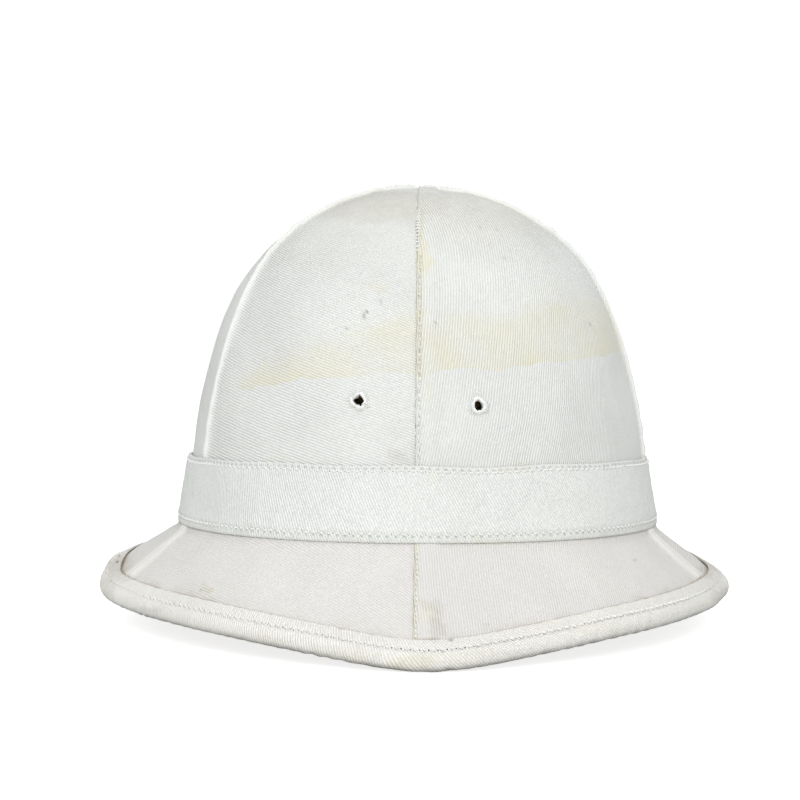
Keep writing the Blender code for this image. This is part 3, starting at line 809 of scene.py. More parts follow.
def threads(name, rows, sides=6):
    """Stitches as short bent rods. Each row of the list: points, and a radius."""
    verts, faces = [], []
    for points, radius in rows:
        points = np.asarray(points)
        tangents = np.gradient(points, axis=0)
        tangents /= np.linalg.norm(tangents, axis=1, keepdims=True)
        helper = np.array((0.0, 0.0, 1.0)) if abs(tangents[0][2]) < 0.9 else np.array((1.0, 0.0, 0.0))
        side = np.cross(tangents, helper)
        side /= np.linalg.norm(side, axis=1, keepdims=True)
        up = np.cross(side, tangents)
        taper = np.ones(len(points))
        taper[0] = taper[-1] = 0.45
        start = len(verts)
        last = start + (len(points) - 1) * sides
        for p, s, q, k in zip(points, side, up, taper):
            for c in range(sides):
                w = 2 * math.pi * c / sides
                verts.append(p + radius * k * (s * math.cos(w) + q * math.sin(w)))
        for ring in range(start, last, sides):
            for c in range(sides):
                a, b = ring + c, ring + (c + 1) % sides
                faces.append((a, b, b + sides, a + sides))
        faces.append(tuple(reversed(range(start, start + sides))))
        faces.append(tuple(range(last, last + sides)))
    mesh = bpy.data.meshes.new(name)
    mesh.from_pydata(verts, [], faces)
    mesh.shade_smooth()
    return placed(name, mesh)


# ---- materials


class Graph:
    """A short way to wire a material's nodes."""

    def __init__(self, name):
        self.material = bpy.data.materials.new(name)
        self.material.use_nodes = True
        self.nodes = self.material.node_tree.nodes
        self.links = self.material.node_tree.links
        self.shader = self.nodes["Principled BSDF"]

    def node(self, kind, **inputs):
        made = self.nodes.new(kind)
        for key, value in inputs.items():
            self.feed(made.inputs[int(key[1:])] if key[0] == "i" and key[1:].isdigit() else made.inputs[key], value)
        return made

    def feed(self, socket, value):
        if isinstance(value, bpy.types.NodeSocket):
            self.links.new(value, socket)
        else:
            socket.default_value = value

    def math(self, operation, a, b=0.0, c=0.0):
        made = self.node("ShaderNodeMath", i0=a, i1=b, i2=c)
        made.operation = operation
        return made.outputs[0]

    def times(self, a, b):
        return self.math("MULTIPLY", a, b)

    def times_plus(self, a, b, c):
        return self.math("MULTIPLY_ADD", a, b, c)

    def span(self, value, low, high, start=0.0, end=1.0):
        """Eases a value from start at low to end at high."""
        made = self.node("ShaderNodeMapRange", i0=value)
        made.interpolation_type = "SMOOTHSTEP"
        lo, hi, s, e = (low, high, start, end) if low < high else (high, low, end, start)
        for name, number in (("From Min", lo), ("From Max", hi), ("To Min", s), ("To Max", e)):
            made.inputs[name].default_value = number
        return made.outputs[0]

    def noise(self, scale, detail=3.0, vector=None, roughness=0.55):
        made = self.node("ShaderNodeTexNoise", Scale=scale, Detail=detail, Roughness=roughness)
        if vector is not None:
            self.links.new(vector, made.inputs["Vector"])
        return made.outputs["Fac"]

    def mix(self, factor, a, b):
        made = self.nodes.new("ShaderNodeMix")
        made.data_type = "RGBA"
        self.feed(made.inputs["Factor"], factor)
        self.feed(made.inputs[6], a)
        self.feed(made.inputs[7], b)
        return made.outputs[2]

    def darken(self, colour, share):
        """The colour times a share between 0 and 1."""
        made = self.nodes.new("ShaderNodeVectorMath")
        made.operation = "SCALE"
        self.feed(made.inputs[0], colour[:3] if isinstance(colour, tuple) else colour)
        self.feed(made.inputs["Scale"], share)
        return made.outputs[0]

    def soil_and_shade(self, colour, where, share, tint):
        """The colour with a share of another over it, where the mask says: for stains, dirt and painted shade alike.
        """
        return self.mix(self.times(where, share), colour, tint)

    def mark(self, name):
        made = self.nodes.new("ShaderNodeAttribute")
        made.attribute_name = name
        return made.outputs["Fac"]

    def uv(self, name):
        made = self.nodes.new("ShaderNodeUVMap")
        made.uv_map = name
        return made.outputs[0]

    def split(self, vector):
        return self.node("ShaderNodeSeparateXYZ", i0=vector).outputs

    def join(self, x, y, z=0.0):
        return self.node("ShaderNodeCombineXYZ", i0=x, i1=y, i2=z).outputs[0]

    def object_place(self):
        return self.nodes.new("ShaderNodeTexCoord").outputs["Object"]

    def dress(self, colour, height, strength, distance, roughness, specular):
        """Joins colour, relief and roughness to the shader."""
        bump = self.node("ShaderNodeBump", Strength=strength, Distance=distance, Height=height)
        self.links.new(colour, self.shader.inputs["Base Color"])
        self.links.new(bump.outputs[0], self.shader.inputs["Normal"])
        self.feed(self.shader.inputs["Roughness"], roughness)
        self.shader.inputs["Specular IOR Level"].default_value = specular
        return self.material


WHITE = (0.835, 0.84, 0.82, 1.0)
BAND_WHITE = (0.885, 0.895, 0.875, 1.0)
WARM_WHITE = (0.78, 0.758, 0.738, 1.0)
BINDING_WHITE = (0.97, 0.945, 0.905, 1.0)
YELLOW = (0.79, 0.755, 0.59, 1.0)
BROWN = (0.30, 0.20, 0.10, 1.0)
GREY_BROWN = (0.50, 0.44, 0.35, 1.0)
SOOT = (0.07, 0.055, 0.04, 1.0)


def cloth(name, tint, rib_pitch, kind, relief=1.0, groove_shade=0.55):
    """White cotton twill: ribs of slanted floats, painted shade and dirt between them, stains by mark, dirt along its
    edges, and painted shade and highlights by mark.
    """
    g = Graph(name)
    place = g.object_place()
    p, q, _ = g.split(g.uv("weave"))
    drift = g.noise(90.0, 2.0, place)
    p = g.times_plus(g.math("SUBTRACT", drift, 0.5), rib_pitch * 0.7, p)
    turn = g.times(p, 2 * math.pi / rib_pitch)
    rib = g.times_plus(g.math("COSINE", turn), 0.5, 0.5)
    floats = g.times(q, 2 * math.pi / (rib_pitch * 1.15))
    slant = g.times_plus(p, 2 * math.pi / rib_pitch * 0.5, floats)
    knot = g.times_plus(g.math("COSINE", slant), 0.5, 0.5)
    fleck = g.noise(1.0, 2.0, g.join(g.times(p, 1.2 / rib_pitch), g.times(q, 0.35 / rib_pitch)))
    height = g.times(rib, g.times_plus(knot, 0.12, 0.88))
    height = g.times_plus(fleck, 0.45, height)
    valley = g.span(rib, 0.55, 0.0)
    patchy_valleys = g.span(g.noise(26.0, 2.0, place), 0.3, 0.7, 0.55, 1.15)
    valley = g.times(valley, patchy_valleys)
    if kind in ("crown", "brim", "fray"):
        ribbed = g.math("SUBTRACT", 1.0, g.mark("bare"))
        valley = g.times(valley, ribbed)
        height = g.times(height, ribbed)
    grain = g.noise(1150.0, 2.0, place)

    yellow = g.mark("yellow")
    if kind == "crown":
        breadth = g.times_plus(g.math("SUBTRACT", g.noise(700.0, 2.0, place), 0.5), 2.4, g.mark("tide"))
        rim = g.times(g.span(breadth, 3.0, 0.6), 0.22)
        soaked = g.times(g.mark("wash"), g.math("ADD", g.span(breadth, -0.35, 0.55), rim))
        soaked = g.times(soaked, g.span(breadth, -0.35, 0.3))
        yellow = g.math("MAXIMUM", yellow, soaked)
    grime = g.mark("grime")
    cloudy = g.noise(28.0, 4.0, place)
    colour = g.mix(g.span(cloudy, 0.35, 0.7), tint, g.darken(tint, 0.965))
    colour = g.mix(g.span(grain, 0.3, 0.75), colour, g.darken(tint, 0.86 if kind == "band" else 0.92))
    colour = g.soil_and_shade(colour, yellow, 0.7, YELLOW)
    breakup = g.noise(420.0, 3.0, place)
    dirt_and_shade = g.times(grime, g.span(breakup, 0.25, 0.7, 0.35, 1.0))
    colour = g.soil_and_shade(colour, dirt_and_shade, 0.55, GREY_BROWN)
    # Painted shade in the grooves between the ribs, partly dirt: it deepens where the soiling mark is high.
    valley_shade_and_dirt = g.times(valley, g.times_plus(grime, 0.9, groove_shade))
    valley_shade_and_dirt = g.times(valley_shade_and_dirt, g.span(fleck, 0.2, 0.8, 0.6, 1.2))
    colour = g.mix(valley_shade_and_dirt, colour, g.darken(colour, 0.62))
    streaky = g.noise(130.0, 3.0, place)
    if kind in ("crown", "brim"):
        line = g.times(g.span(g.mark("fold"), 0.0011, 0.00015), g.span(streaky, 0.35, 0.62, 0.15, 0.85))
        colour = g.soil_and_shade(colour, line, 0.09, BROWN)
    if kind == "brim":
        near = g.mark("to_binding")
        line = g.times(g.span(near, 0.0016, 0.0004), g.span(streaky, 0.3, 0.6, 0.45, 1.0))
        colour = g.soil_and_shade(colour, line, 0.58, BROWN)
        halo = g.times(g.span(near, 0.006, 0.0), g.span(streaky, 0.4, 0.7, 0.0, 0.16))
        colour = g.mix(halo, colour, BROWN)
    if kind == "binding":
        line = g.times(g.span(g.mark("fold"), 0.0007, 0.0), g.span(streaky, 0.3, 0.6, 0.25, 0.8))
        colour = g.soil_and_shade(colour, line, 0.45, BROWN)
        # Painted shade, darkening the lower side of the roll.
        under = g.times(g.mark("shade"), g.span(streaky, 0.3, 0.6, 0.55, 1.0))
        colour = g.soil_and_shade(colour, under, 0.75, (0.16, 0.155, 0.125, 1.0))
    if kind == "band":
        # Painted shade on the band's hem.
        hem_shade = g.times(g.mark("shade"), g.span(streaky, 0.35, 0.65, 0.3, 1.0))
        colour = g.soil_and_shade(colour, hem_shade, 0.18, (0.45, 0.42, 0.33, 1.0))
        # Painted shade in the dimples that the stitches pull into the band, beside its rows.
        beat, far, _ = g.split(g.uv("sewing"))
        pulled = g.math("COSINE", g.times(beat, 2 * math.pi))
        dimple = g.times(g.span(pulled, -0.2, 0.8), g.span(far, 0.0002, 0.0007))
        dimple = g.times(dimple, g.span(far, 0.0015, 0.0009))
        dimple = g.times(dimple, g.span(streaky, 0.3, 0.6, 0.5, 1.0))
        colour = g.soil_and_shade(colour, dimple, 0.5, (0.42, 0.43, 0.41, 1.0))
    bare_share = {"crown": 0.35, "brim": 0.1, "fray": 1.0}
    if kind in bare_share:
        colour = g.mix(g.times(g.mark("bare"), bare_share[kind]), colour, (0.90, 0.90, 0.89, 1.0))
    # Painted highlight along the side seams' folds.
    if kind in ("crown", "brim"):
        colour = g.mix(g.mark("light"), colour, (1.0, 1.0, 0.99, 1.0))
    flecked = g.times(g.mark("spots"), g.span(breakup, 0.2, 0.5, 0.7, 1.2))
    colour = g.mix(g.math("MINIMUM", flecked, 1.0), colour, SOOT)

    fuzz = g.noise(2600.0, 2.0, place)
    height = g.times_plus(fuzz, 0.5, g.times_plus(grain, 0.9, height))
    g.shader.inputs["Sheen Weight"].default_value = 0.12
    g.shader.inputs["Sheen Roughness"].default_value = 0.5
    return g.dress(colour, height, 1.0, 0.00024 * relief, g.times_plus(fleck, 0.10, 0.80), 0.25)


def thread_material(name, tint):
    g = Graph(name)
    place = g.object_place()
    ply = g.noise(2400.0, 2.0, place)
    colour = g.mix(g.span(ply, 0.3, 0.7), tint, g.darken(tint, 0.8))
    return g.dress(colour, ply, 0.7, 0.0001, 0.75, 0.3)


def pith_material():
    """Bare pressed pith: matt, faintly layered, with pores."""
    g = Graph("pith")
    place = g.object_place()
    x, y, z = g.split(place)
    flattened = g.join(g.times(x, 60.0), g.times(y, 60.0), g.times(z, 320.0))
    layered = g.noise(1.0, 4.0, flattened)
    pores = g.noise(900.0, 3.0, place)
    colour = g.mix(g.span(layered, 0.3, 0.7), (0.50, 0.38, 0.24, 1.0), (0.38, 0.275, 0.16, 1.0))
    colour = g.mix(g.span(pores, 0.62, 0.75, 0.0, 0.5), colour, (0.22, 0.14, 0.07, 1.0))
    # Painted shade: the pith close round each hole is painted nearly black, so that the holes read dark.
    for centre in HOLE_CENTRES:
        away = g.node("ShaderNodeVectorMath", i0=place, i1=tuple(centre))
        away.operation = "DISTANCE"
        colour = g.mix(g.span(away.outputs["Value"], 0.0075, 0.0045), colour, (0.006, 0.005, 0.004, 1.0))
    height = g.times_plus(g.span(pores, 0.7, 0.45), 0.6, layered)
    return g.dress(colour, height, 0.6, 0.0003, 0.92, 0.2)


# ---- the pieces


def finish_piece(obj, material, slot, *nodes):
    obj.data.materials.clear()
    obj.data.materials.append(material)
    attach(obj, "root")
    if nodes:
        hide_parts(*nodes)


# Torn edge of each hole: turn in degrees from the viewer's right, and distance out in millimetres
LEFT_TEAR = (
    (0, 2.09), (25, 1.81), (60, 1.86), (85, 2.32), (110, 1.75), (140, 1.81), (165, 2.43), (185, 2.37),
    (210, 1.92), (235, 1.98), (262, 1.92), (285, 2.20), (300, 2.26), (330, 2.03),
)
RIGHT_TEAR = (
    (0, 1.76), (35, 1.59), (65, 1.81), (90, 2.04), (120, 1.98), (145, 1.98), (175, 1.76), (205, 1.76),
    (235, 2.04), (255, 2.31), (272, 1.81), (290, 2.15), (315, 1.93), (340, 1.93),
)
# The frayed lip: share of the way from the torn edge to the outside, height over the panel in millimetres
FRAY_LIP = (
    (-0.05, -1.4), (-0.03, -0.5), (0.0, 0.1), (0.05, 0.6), (0.13, 0.9), (0.24, 0.8), (0.40, 0.28), (0.55, 0.10),
    (0.78, 0.03), (1.0, -0.10),
)
FRAY_REACH = 0.0046


def front_skin(angle, along):
    """The crown's cloth away from its seams, with its slight waves."""
    base = crown(angle, along)
    out = base / np.linalg.norm(base * (1, 1, 0.3), axis=-1, keepdims=True)
    return base + out * crown_waves(base)[..., None]


def surface_frame(angle, along):
    """A point on the crown, its normal, and unit steps to the viewer's right and up."""
    a = np.array([angle - 0.05, angle, angle + 0.05, angle, angle])
    s = np.array([along, along - 0.0002, along, along + 0.0002, along])
    p = crown(a, s)
    right = p[2] - p[0]
    up = p[3] - p[1]
    right /= np.linalg.norm(right)
    up /= np.linalg.norm(up)
    normal = np.cross(right, up)
    return front_skin(a[4:], s[4:])[0], normal / np.linalg.norm(normal), right, up


def torn_hole(name, angle, height, tear, ribs_at, seed):
    """A ring of frayed cloth round a hole: it turns in at the torn edge and lies down on the panel outside."""
    along = along_at(height)
    centre, normal, right, up = surface_frame(angle, along)
    turns = np.linspace(0, 360, 120, endpoint=False)
    table = np.array(tear + ((360, tear[0][1]),))
    torn = np.interp(turns, table[:, 0], table[:, 1]) * MM
    ragged = np.radians(turns)
    torn = torn + 0.00007 * (np.sin(17 * ragged + seed) + np.sin(29 * ragged + 2 * seed))
    shares = np.linspace(FRAY_LIP[0][0], 1.0, 26)
    rise = np.interp(shares, *np.array(FRAY_LIP).T) * MM
    pair = crown(np.array([angle - 0.5, angle + 0.5]), np.array([along, along]))
    metric = np.linalg.norm(pair[1] - pair[0])
    rough = 0.75 + 0.35 * np.sin(2 * ragged + seed) + 0.3 * np.sin(5 * ragged + 2 * seed)
    outer = FRAY_REACH * (0.86 + 0.10 * np.sin(3 * ragged + seed) + 0.05 * np.sin(7 * ragged))
    r = torn[:, None] + shares[None, :] * (outer - torn)[:, None]
    x, y = r * np.cos(ragged)[:, None], r * np.sin(ragged)[:, None]
    lift = rise[None, :] * np.where((shares > 0) & (shares < 0.7), rough[:, None], 1.0)
    lift = lift + 0.00007 * np.sin(23 * ragged[:, None] + 9 * shares + seed) * bell(shares, 0.2, 0.3)
    grid = front_skin(angle + x / metric, along + y) + normal * lift[..., None]
    rel = grid - centre
    weave = turned(rel @ right, rel @ up, ribs_at)
    weave = np.vstack((weave, weave[:1]))
    marks = stains(grid)
    # Painted shadow on the lower side of the frayed lip, laid into the soiling mark.
    shadow = bell(shares, 0.45, 0.10)[None, :] * (0.5 - 0.5 * np.sin(ragged))[:, None]
    deepen(marks, grime=0.4 * shadow)
    marks["bare"] = 0.95 * step(0.62, 0.25, shares)[None, :] + np.zeros_like(x)
    flipped = {key: value[:, ::-1] for key, value in marks.items()}
    obj = sheet_mesh(f"hole_fray_{name}", grid[:, ::-1], {"weave": weave[:, ::-1]}, flipped, True)
    thicken(obj, 0.00015)
    ring = (torn + 0.0005)[::4, None]
    cutter = centre + right * ring * np.cos(ragged[::4, None]) + up * ring * np.sin(ragged[::4, None])
    return obj, (cutter, normal), (centre, normal, right, up)


HOLE_CENTRES = [
    surface_frame(angle, along_at(height))[0]
    for angle, height in ((LEFT_HOLE_ANGLE, LEFT_HOLE_HEIGHT), (RIGHT_HOLE_ANGLE, RIGHT_HOLE_HEIGHT))
]


def cut_hole(obj, cutter_points, normal):
    """Cuts a ragged hole straight through a thickened sheet and keeps its maps and marks."""
    n = len(cutter_points)
    verts = [tuple(p - normal * 0.004) for p in cutter_points] + [tuple(p + normal * 0.004) for p in cutter_points]
    faces = [tuple(reversed(range(n))), tuple(range(n, 2 * n))]
    faces += [(i, (i + 1) % n, n + (i + 1) % n, n + i) for i in range(n)]
    mesh = bpy.data.meshes.new("cutter")
    mesh.from_pydata(verts, [], faces)
    cutter = placed("cutter", mesh)
    modifier = obj.modifiers.new("hole", "BOOLEAN")
    modifier.operation = "DIFFERENCE"
    modifier.solver = "EXACT"
    modifier.object = cutter
    bpy.context.view_layer.update()
    graph = bpy.context.evaluated_depsgraph_get()
    cut = obj.evaluated_get(graph)
    made = bpy.data.meshes.new_from_object(cut, preserve_all_data_layers=True, depsgraph=graph)
    obj.modifiers.clear()
    obj.data = made
    obj.data.shade_smooth()
    bpy.data.objects.remove(cutter)


def arc_stitch(start, end, normal, lift, dip, points=7):
    """A stitch from start to end that stands on the cloth and dips in at both ends."""
    u = np.linspace(0, 1, points)[:, None]
    height = lift * np.sin(np.pi * u) ** 0.6 - dip * (1 - np.sin(np.pi * u) ** 0.5)
    return start + (end - start) * u + normal * height


def row_stitches(points, outward, count_or_pitch, share, radius, slant, lift, seed, closed=False):
    """Stitches along a line of points, each a share of the pitch long, and between them small dark blobs, painted
    shade in the needle's holes.

    A number over 1 is a count of stitches, a smaller one their pitch in metres. Stitches at the far sides lie deeper.
    """
    draw = np.random.default_rng(seed)
    if closed:
        points, outward = np.vstack((points, points[:1])), np.vstack((outward, outward[:1]))
    t = arc_lengths(points)
    pitch = t[-1] / count_or_pitch if count_or_pitch > 1 else count_or_pitch
    rows, pricks = [], []
    for number in range(1 if closed else 0, int(t[-1] / pitch + 0.01)):
        middle = number * pitch + (0 if closed else pitch / 2)
        needle = [middle + pitch * along for along in (0.42, 0.5, 0.58)]
        prick = [on_line(d, t, points) - on_line(d, t, outward) * radius * 0.35 for d in needle]
        pricks.append((prick, radius * draw.uniform(0.7, 1.0)))
        ends = []
        for d in (middle - pitch * share / 2, middle + pitch * share / 2):
            d += draw.normal() * pitch * 0.03
            n = on_line(d, t, outward)
            ends.append((on_line(d, t, points), n / np.linalg.norm(n)))
        (a, n), (b, _) = ends
        across = np.cross(n, b - a)
        across /= np.linalg.norm(across)
        aside = abs(a[0])
        sunk = 1 - 0.4 * step(0.09, 0.105, aside) - 0.4 * step(0.103, 0.113, aside)
        lean = (slant + draw.normal() * 0.00006) * sunk
        rise = lift * sunk * draw.uniform(0.75, 1.25)
        bend = arc_stitch(a - across * lean, b + across * lean, n, rise, radius * 1.6)
        rows.append((bend, radius * sunk**0.5 * draw.uniform(0.9, 1.12)))
    return rows, pricks


# A stitch whipped over a fold: distance past the fold, height over the folded cloth, slip along the seam, in mm
WHIP = (
    (-1.15, -0.95, -0.30), (-0.80, -0.45, -0.22), (-0.35, 0.02, -0.12), (0.30, 0.20, 0.0), (1.00, 0.18, 0.12),
    (1.50, 0.02, 0.22), (1.75, -0.35, 0.30),
)


def whip_stitches(fold, inner, outward, pitch, radius, size, seed):
    """Stitches wrapped over a fold; inner is a line on the folded cloth a little way in from it."""
    draw = np.random.default_rng(seed)
    t = arc_lengths(fold)
    rows = []
    place = pitch / 2
    while place < t[-1]:
        d = place + draw.normal() * pitch * 0.08
        p, q, n = on_line(d, t, fold), on_line(d, t, inner), on_line(d, t, outward)
        n /= np.linalg.norm(n)
        forward = on_line(d + 0.0005, t, fold) - p
        forward /= max(np.linalg.norm(forward), 1e-9)
        across = q - p
        across -= n * (across @ n)
        across /= np.linalg.norm(across)
        top = p + n * ((q - p) @ n)
        grow = size * draw.uniform(0.85, 1.15)
        bend = [top + (across * x + n * y + forward * z) * MM * grow for x, y, z in WHIP]
        rows.append((bend, radius * draw.uniform(0.88, 1.15)))
        place += pitch * draw.uniform(0.9, 1.1)
    return rows


def twisted_edge(line, outward, seed):
    """Two strands laid round each other on the seam's fold, thinner away from the apex."""
    t = arc_lengths(line)
    fine = np.arange(0, t[-1], 0.0004)
    p, n = on_line(fine, t, line), on_line(fine, t, outward)
    forward = np.gradient(p, axis=0)
    forward /= np.linalg.norm(forward, axis=1, keepdims=True)
    side = np.cross(n, forward)
    full = step(0.028, 0.015, fine)[:, None] * (1 + 0.15 * wander(fine, 0.006, seed))[:, None]
    rows = []
    for start in (0.0, math.pi):
        turn = (2 * math.pi * fine / 0.0052 + start + 0.5 * wander(fine, 0.011, seed + 1))[:, None]
        middle = p + n * (0.0010 * full - 0.0007) + full * 0.0006 * (side * np.cos(turn) + n * np.sin(turn))
        rows.append((middle, 0.00075))
    return rows


def beside(grid, distance, at_last=False):
    """The line and its normals at a distance in from a panel's first or last edge."""
    n = normals(grid)
    if at_last:
        grid, n = grid[::-1], n[::-1]
    far = arc_lengths(grid)
    columns = range(grid.shape[1])
    line = [[np.interp(distance, far[:, j], grid[:, j, k]) for k in range(3)] for j in columns]
    out = [[np.interp(distance, far[:, j], n[:, j, k]) for k in range(3)] for j in columns]
    return np.array(line), np.array(out)


def stitch_piece(name, rows, material, slot):
    obj = threads(name, rows)
    finish_piece(obj, material, slot)
    return obj


def loose_threads(frame_at, strands, seed):
    """Frayed ends by a hole. Each strand: places to the right, up and out from its middle, in millimetres."""
    centre, normal, right, up = frame_at
    draw = np.random.default_rng(seed)
    rows = []
    for strand, radius in strands:
        pts = np.array(strand, float)
        t = np.linspace(0, 1, len(pts))
        fine = np.linspace(0, 1, 4 * len(pts))
        smooth_line = np.stack([spline(t, pts[:, k], fine) for k in range(3)], axis=1) * MM
        smooth_line += draw.normal(size=smooth_line.shape) * 0.00002
        rows.append((smooth_line @ np.stack((right, up, normal)) + centre, radius * MM))
    return rows


LEFT_STRANDS = (
    (
        ((1.3, -1.5, 0.2), (2.0, -1.3, 0.9), (2.9, -1.1, 1.0), (3.9, -1.6, 0.9), (4.2, -2.2, 0.6), (3.4, -2.6, 0.5)),
        0.24,
    ),
    (((1.6, -1.0, 0.1), (2.3, -1.6, 0.8), (3.3, -2.2, 0.8), (4.4, -2.4, 0.5)), 0.13),
    (((-0.5, -1.4, 0.1), (-0.7, -2.1, 0.7), (-0.6, -2.9, 0.6), (-0.1, -3.7, 0.35)), 0.15),
    (((0.3, -1.6, 0.2), (0.7, -2.4, 0.8), (1.3, -3.0, 0.6), (1.8, -3.8, 0.3)), 0.14),
    (((0.0, -1.5, 0.0), (0.1, -2.2, 0.7), (0.5, -2.9, 0.5), (0.4, -3.6, 0.3)), 0.12),
    (((-1.4, -1.1, 0.0), (-2.0, -1.6, 0.6), (-2.5, -1.3, 0.6), (-2.7, -0.4, 0.5), (-2.5, 0.6, 0.5)), 0.17),
    (((-1.8, 0.6, 0.1), (-2.3, 1.0, 0.6), (-1.9, 1.8, 0.6), (-1.0, 2.3, 0.5)), 0.14),
    (((1.0, 1.5, 0.0), (1.6, 2.0, 0.6), (2.4, 1.7, 0.5), (2.9, 0.9, 0.4)), 0.12),
    (((-0.9, -1.5, 0.1), (-1.4, -2.3, 0.7), (-2.2, -2.6, 0.4)), 0.12),
)
RIGHT_STRANDS = (
    (((-1.5, -0.6, 0.0), (-2.2, -0.9, 0.6), (-2.4, -1.8, 0.7), (-1.7, -2.7, 0.7), (-0.6, -3.1, 0.6)), 0.17),
    (((-1.7, 0.2, 0.1), (-2.6, 0.3, 0.6), (-3.0, -0.5, 0.5), (-2.8, -1.4, 0.4)), 0.14),
    (((0.9, -1.5, 0.0), (1.3, -2.3, 0.7), (0.6, -2.9, 0.7), (-0.3, -3.2, 0.5)), 0.16),
    (((1.5, -0.6, 0.1), (2.3, -1.0, 0.6), (2.6, -1.9, 0.6), (1.9, -2.8, 0.5)), 0.15),
    (((1.4, 0.8, 0.0), (2.1, 1.2, 0.5), (2.9, 0.6, 0.5), (3.1, -0.5, 0.3)), 0.12),
    (((-1.1, 1.4, 0.0), (-1.7, 1.9, 0.5), (-2.6, 1.6, 0.5), (-3.0, 1.0, 0.3)), 0.12),
)


white_cloth = cloth("white_twill", WHITE, RIB_PITCH, "crown")
brim_cloth = cloth("white_twill_brim", WARM_WHITE, RIB_PITCH, "brim", 0.75, 0.36)
band_cloth = cloth("band_twill", BAND_WHITE, RIB_PITCH, "band", 1.0, 0.45)
binding_material = cloth("binding_twill", BINDING_WHITE, RIB_PITCH, "binding", 1.4, 0.5)
frayed_cloth = cloth("frayed_twill", WHITE, RIB_PITCH, "fray", 1.4)
white_thread = thread_material("white_thread", (0.90, 0.90, 0.885, 1.0))
aged_thread = thread_material("aged_thread", (0.84, 0.82, 0.76, 1.0))
# Painted shade for the needle holes: dark and grey blobs sunk in the cloth between the stitches.
needle_hole_shade = thread_material("needle_hole_shade", (0.055, 0.045, 0.035, 1.0))
faint_hole_shade = thread_material("faint_hole_shade", (0.40, 0.39, 0.35, 1.0))
pith = pith_material()
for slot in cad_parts["pith_shell"].material_slots:
    slot.material = pith

crown_sheets = {cut[0]: crown_panel(*cut) for cut in CROWN_PANELS}
brim_sheets = {cut[0]: brim_panel(*cut) for cut in BRIM_PANELS}
for place in brim_sheets:
    finish_piece(brim_sheets[place][0], brim_cloth, "twill", f"brim_panel_{place}")

for name, panel, angle, height, tear, ribs, strands, seed in (
    ("left", "front_left", LEFT_HOLE_ANGLE, LEFT_HOLE_HEIGHT, LEFT_TEAR, -17.5, LEFT_STRANDS, 5),
    ("right", "front_right", RIGHT_HOLE_ANGLE, RIGHT_HOLE_HEIGHT, RIGHT_TEAR, 77.0, RIGHT_STRANDS, 9),
):
    fray, cutter, frame_at = torn_hole(name, angle, height, tear, ribs, seed)
    cut_hole(crown_sheets[panel][0], *cutter)
    finish_piece(fray, frayed_cloth, "twill")
    ends = stitch_piece(f"hole_threads_{name}", loose_threads(frame_at, strands, seed), white_thread, "twill")
for place, (obj, _, _) in crown_sheets.items():
    finish_piece(obj, white_cloth, "twill", f"crown_panel_{place}")

band, band_grid, band_rows, band_pitch, band_length = hat_band()
finish_piece(band, band_cloth, "band_twill", "hat_band")
edge, edge_grid, edge_row, edge_pitch, edge_length = binding()
finish_piece(edge, binding_material, "binding_twill", "brim_binding")

band_out = normals(band_grid, True)
for name, row, slant, seed in (("top", band_rows[0], -0.00020, 81), ("low", band_rows[1], -0.00024, 82)):
    points, out, count = band_grid[:, row], band_out[:, row], round(band_length / band_pitch)
    line, pricks = row_stitches(
        points, out, count, share=0.40, radius=0.00038, slant=slant, lift=0.00036, seed=seed, closed=True
    )
    stitch_piece(f"band_stitches_{name}", line, white_thread, "band_twill")
    stitch_piece(f"band_needle_marks_{name}", pricks, faint_hole_shade, "band_twill")
edge_out = normals(edge_grid, True)
points, out, count = edge_grid[:, edge_row], edge_out[:, edge_row], round(edge_length / edge_pitch)
line, pricks = row_stitches(
    points, out, count, share=0.44, radius=0.00047, slant=-0.00055, lift=0.00052, seed=83, closed=True
)
stitch_piece("binding_stitches", line, white_thread, "binding_twill")
# Painted shade in the needle holes, darkest across the binding's front.
darkest_pricks, pale_pricks = [], []
for prick in pricks:
    column, row = seen(prick[0][1])
    (darkest_pricks if 374 < column < 480 and row > 600 else pale_pricks).append(prick)
stitch_piece("binding_needle_marks_front", darkest_pricks, needle_hole_shade, "binding_twill")
stitch_piece("binding_needle_marks", pale_pricks, faint_hole_shade, "binding_twill")

# Distances from the apex: of the whipped stitches on the front and back seams, of the row of stitches below them,
# and of the last whipped stitches on the side seams
WHIPPED = (0.050, 0.079)
ROW_FROM = 0.078
WHIPPED_SIDE = 0.034
# Rows along the lapped seams: place, the panel's cloth, whether the fold is at its last edge, seed
for name, (_, grid, down), at_last, seed in (
    ("front", crown_sheets["front_right"], False, 91),
    ("back", crown_sheets["back_right"], True, 92),
):
    line, out = beside(grid, CROWN_STITCHES, at_last)
    plain = (down > 0.001) & (down < CROWN_ARC - ROW_FROM)
    rows, pricks = row_stitches(
        line[plain], out[plain], 0.0031, share=0.62, radius=0.00032, slant=0.00045, lift=0.00034, seed=seed
    )
    upper, lower = [], []
    for row in rows:
        (lower if seen(row[0][3])[1] > 376 else upper).append(row)
    stitch_piece(f"seam_stitches_crown_{name}_upper", upper, aged_thread, "twill")
    stitch_piece(f"seam_stitches_crown_{name}_lower", lower, white_thread, "twill")
    stitch_piece(f"seam_needle_marks_crown_{name}", pricks, faint_hole_shade, "twill")
    near_top = (down > CROWN_ARC - WHIPPED[1]) & (down < CROWN_ARC - WHIPPED[0])
    fold, _ = beside(grid, 0.0002, at_last)
    inner, out = beside(grid, 0.0010, at_last)
    rows = whip_stitches(fold[near_top], inner[near_top], out[near_top], 0.0022, 0.00034, 0.62, seed + 10)
    stitch_piece(f"whip_stitches_{name}", rows, white_thread, "twill")
